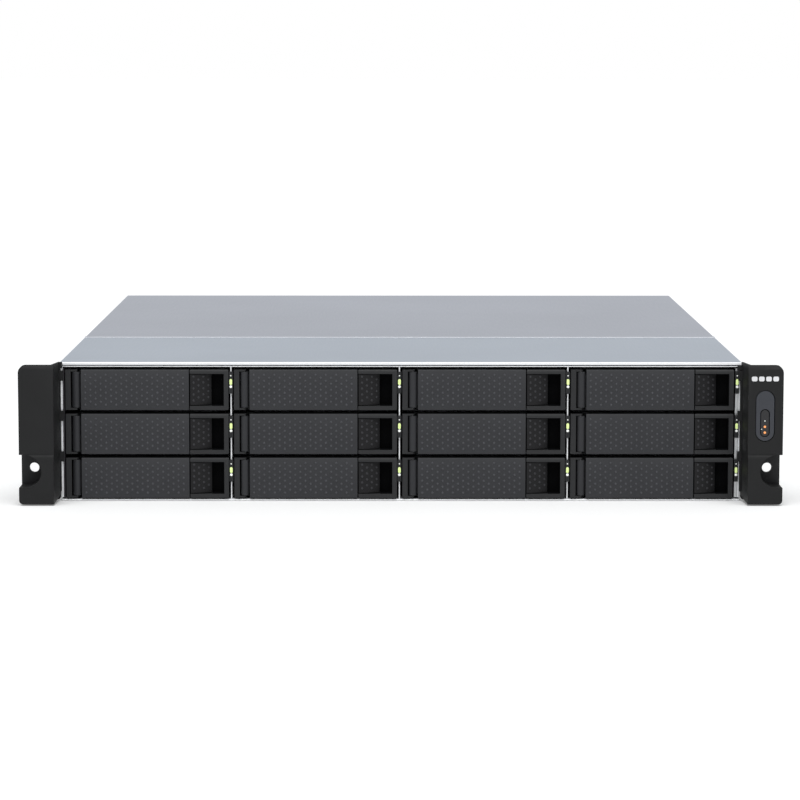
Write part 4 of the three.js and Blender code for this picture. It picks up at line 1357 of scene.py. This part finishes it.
def build_fans():
    low, high = corners("fan_frame_1")
    frame_mesh, rotor_mesh = fan_frame_mesh(low, high), fan_rotor_mesh()
    label = bmesh.new()
    add_round(label, (0, 0), 12.5, high.y - low.y, high.y - low.y + 0.15, along_y, 40)
    label_mesh = make_mesh("fan_label", label, LABEL_PAPER, 0)
    for number in (1, 2, 3):
        low, high = corners(f"fan_frame_{number}")
        at = Vector(((low.x + high.x) / 2, low.y, (low.z + high.z) / 2))
        housing = put(f"fan_housing_{number}", frame_mesh, "root", at)
        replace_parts(housing, f"fan_frame_{number}")
        put(f"fan_label_{number}", label_mesh, "root", at)
        rotor = put(f"fan_blades_{number}", rotor_mesh, f"fan_{number}", at)
        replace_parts(rotor, f"fan_rotor_{number}")
    wall_y = high.y + 0.4
    bm = bmesh.new()
    half = CHASSIS_HALF - 1.4
    add_box(bm, (-half, wall_y, SHEET + 0.3), (half, wall_y + 1, LIP_BOTTOM - 1))
    cuts = bmesh.new()
    for x in (-140, 0, 140):
        add_round(cuts, (x, 43), 37, wall_y - 1, wall_y + 2, along_y, 48)
    add_holes(cuts, slot_outline(14, 40), (-70, 70), (43,), wall_y - 1, wall_y + 2, along_y)
    piece("fan_wall", combine(bm, cuts, "DIFFERENCE"), ZINC_STEEL, 0.12)


build_fans()

# ---------------------------------------------------------------- mainboard

BOARD_TOP = corners("mainboard")[1].z
SINK_LOW, SINK_HIGH = corners("cpu_heatsink")
BIG_CHIPS = ((-170, 150, 24), (60, 60, 18), (70, 170, 14), (-160, 60, 14), (-60, 220, 12))  # x, y, size
SOCKETS = ((-190, 40, 50), (-110, 34, 40), (20, 34, 50), (90, 40, 12))  # x, y, length
CELL = (40, 236)


def build_mainboard():
    """Board with memory, chips, coils, capacitors, sockets and a cell around the heat sink."""
    repaint("mainboard", BOARD_GREEN)
    z = BOARD_TOP
    slots, modules, chips, coils, caps, pins = (bmesh.new() for _ in range(6))
    for index in range(4):
        x = -16 + 9 * index
        add_box(slots, (x - 3.2, 78, z), (x + 3.2, 216, z + 9))
        if index % 2 == 0:
            add_box(modules, (x - 0.6, 81, z + 3), (x + 0.6, 213, z + 33))
            for y in spread(88, 195.8, 8):
                add_box(chips, (x - 1.8, y, z + 15), (x + 1.8, y + 11, z + 24))
    for x, y, size in BIG_CHIPS:
        add_box(chips, (x - size / 2, y - size / 2, z), (x + size / 2, y + size / 2, z + 1.6))
    for index in range(6):
        y = 96 + 13 * index
        add_prism(coils, rounded((-126, y), (-117, y + 9), 1.5), z, z + 7, along_z)
    for index in range(8):
        add_round(caps, (-138, 94 + 11 * index), 3.2, z, z + 9, along_z, 20, 0.4)
        add_round(caps, (84, 70 + 14 * index), 4, z, z + 11, along_z, 20, 0.4)
    add_round(caps, CELL, 10, z + 2, z + 5.2, along_z, 40, 0.4)
    add_round(slots, CELL, 11, z, z + 2.4, along_z, 40, 0.2)
    for x, y, length in SOCKETS:
        add_box(slots, (x - length / 2 + 14, y - 4, z), (x + length / 2 + 14, y + 4, z + 9))
    for index in range(4):
        add_box(slots, (-200, 90 + 22 * index, z), (-190, 106 + 22 * index, z + 8))
    for x in (-197, -50, 97):
        for y in (30, 232):
            add_round(pins, (x, y), 3.4, z, z + 1.6, along_z, 20, 0.3)
    piece("memory_slots", slots, CONNECTOR_PLASTIC, 0.15, segments=1)
    piece("memory_modules", modules, BOARD_GREEN, 0.15, segments=1)
    piece("board_chips", chips, CONNECTOR_PLASTIC, 0.15, segments=1)
    piece("board_coils", coils, CONNECTOR_PLASTIC, 0.4, segments=1)
    piece("board_capacitors", caps, CONNECTOR_METAL)
    piece("board_screws", pins, SCREW_STEEL)


def build_heatsink():
    low, high = SINK_LOW, SINK_HIGH
    bm = bmesh.new()
    add_box(bm, low, (high.x, high.y, low.z + 6))
    fins = bmesh.new()
    step = (high.x - low.x - 1) / 20
    for index in range(21):
        x = low.x + index * step
        add_box(fins, (x, low.y, low.z + 5), (x + 1, high.y, high.z - 0.4))
    bm = combine(bm, fins, "UNION")
    slot, node = "heatsink_aluminium", "cpu_heatsink"
    piece("heatsink_fins", bm, HEATSINK_METAL, 0.15, node=node, segments=1)
    bm = bmesh.new()
    middle = (low.y + high.y) / 2
    add_box(bm, (low.x - 6, middle - 4, low.z + 1), (low.x - 0.2, middle + 4, low.z + 2.4))
    add_box(bm, (high.x + 0.2, middle - 4, low.z + 1), (high.x + 6, middle + 4, low.z + 2.4))
    piece("heatsink_clip", bm, SCREW_STEEL, 0.15, segments=1)


def build_ports():
    """The connector block with its sockets, their black liners, contacts and lights."""
    low, high = PORTS_LOW, PORTS_HIGH
    bm = bmesh.new()
    add_box(bm, low, high)
    cuts, liners, contacts, lights = bmesh.new(), bmesh.new(), bmesh.new(), bmesh.new()
    floor = low.z + 3
    rear = high.y
    for index in range(4):
        x = low.x + 12 + 18 * index
        add_box(cuts, (x, rear - 15, floor), (x + 13, rear + 1, floor + 11))
        add_box(liners, (x, rear - 14.9, floor), (x + 0.4, rear - 0.6, floor + 11))
        add_box(liners, (x + 12.6, rear - 14.9, floor), (x + 13, rear - 0.6, floor + 11))
        add_box(liners, (x, rear - 14.9, floor), (x + 13, rear - 14.4, floor + 11))
        for pin in range(8):
            left = x + 2.6 + pin
            add_box(contacts, (left, rear - 13, floor + 9.4), (left + 0.4, rear - 4, floor + 9.8))
        add_box(lights, (x + 1, rear - 0.2, floor + 11.6), (x + 3.4, rear + 0.05, floor + 13))
        add_box(lights, (x + 9.6, rear - 0.2, floor + 11.6), (x + 12, rear + 0.05, floor + 13))
    for column in range(2):
        for level in range(2):
            x = low.x + 92 + 20 * column
            z = floor + 11 * level
            add_box(cuts, (x, rear - 14, z), (x + 13.5, rear + 1, z + 6))
            add_box(liners, (x, rear - 13.9, z), (x + 13.5, rear - 13.4, z + 6))
            add_box(contacts, (x + 1.5, rear - 13, z + 5.2), (x + 12, rear - 3, z + 5.6))
    bm = combine(bm, cuts, "DIFFERENCE")
    slot, node = "connector_metal", "rear_ports"
    piece("ports_block", bm, CONNECTOR_METAL, 0.15, node=node, segments=1)
    piece("ports_liners", liners, CONNECTOR_PLASTIC, 0.05, segments=1)
    piece("ports_contacts", contacts, GOLD_CONTACT)
    piece("ports_lights", lights, LENS_ORANGE)


SUPPLY_FAN = (186, 44)
GUARD_REACH = 18.5
INLET_WELL = ((139, 16.5), (161, 16.5), (161, 27), (157, 31.5), (143, 31.5), (139, 27))


def build_supply():
    """The supply's housing with the mains inlet, a fan behind its guard, and a release tab."""
    low, high = SUPPLY_LOW, SUPPLY_HIGH
    rear = high.y
    bm = bmesh.new()
    add_prism(bm, rounded((low.x, low.z), (high.x, high.z), 1), low.y, rear, along_y)
    cuts, guard, pins = bmesh.new(), bmesh.new(), bmesh.new()
    add_box(cuts, (136.5, rear - 15, 14), (163.5, rear + 1, 34))
    fan_x, fan_z = SUPPLY_FAN
    add_round(cuts, SUPPLY_FAN, 18, rear - 12, rear + 1, along_y, 48)
    ys = spread(low.y + 20, low.y + 120, 12)
    add_holes(cuts, slot_outline(3, 26), ys, (42,), low.x - 1, low.x + 2, along_x)
    bm = combine(bm, cuts, "DIFFERENCE")
    piece("supply_housing", bm, ZINC_STEEL, 0.2, node="power_supply")
    for radius in (5, 9, 13, 17):
        inner, outer = radius - 0.5, radius + 0.5
        section = [(inner, rear - 0.9), (outer, rear - 0.9), (outer, rear + 0.1)]
        section += [(inner, rear + 0.1), (inner, rear - 0.9)]
        add_turned(guard, SUPPLY_FAN, section, along_y, 48)
    for across, up in ((GUARD_REACH, 0.5), (0.5, GUARD_REACH)):
        corner = (fan_x - across, rear - 1.6, fan_z - up)
        add_box(guard, corner, (fan_x + across, rear - 0.8, fan_z + up))
    piece("supply_fan_guard", guard, SCREW_STEEL)
    hub = bmesh.new()
    add_round(hub, SUPPLY_FAN, 7, rear - 11.5, rear - 4, along_y, 32, 0.5)
    for blade in range(7):
        vane = bmesh.new()
        add_box(vane, (6, rear - 10, -0.6), (16.8, rear - 5, 0.6))
        turn_on_y(vane, blade * 360 / 7)
        bmesh.ops.translate(vane, vec=(fan_x, 0, fan_z), verts=vane.verts)
        hub = combine(hub, vane, "UNION")
    piece("supply_fan", hub, FAN_PLASTIC, 0.15, segments=1)
    inlet = bmesh.new()
    add_prism(inlet, rounded((136.6, 14.1), (163.4, 33.9), 1), rear - 14.9, rear - 0.1, along_y)
    hollow = bmesh.new()
    add_prism(hollow, INLET_WELL, rear - 13.5, rear + 1, along_y)
    inlet = combine(inlet, hollow, "DIFFERENCE")
    piece("mains_inlet", inlet, CONNECTOR_PLASTIC, 0.15, segments=1)
    for x, z in ((144, 21), (150, 27), (156, 21)):
        add_box(pins, (x - 1, rear - 13.8, z - 2), (x + 1, rear - 4, z + 2))
    piece("mains_pins", pins, CONNECTOR_METAL, 0.1, segments=1)
    tab = bmesh.new()
    add_prism(tab, rounded((136, 62), (146, 72), 1.5), rear - 0.6, rear + 1.2, along_y)
    gap = bmesh.new()
    add_prism(gap, rounded((138, 64), (144, 70), 1), rear - 2, rear + 2, along_y)
    tab = combine(tab, gap, "DIFFERENCE")
    piece("supply_release_tab", tab, TAB_PLASTIC, 0.15, segments=1)


build_mainboard()
build_heatsink()
build_ports()
build_supply()
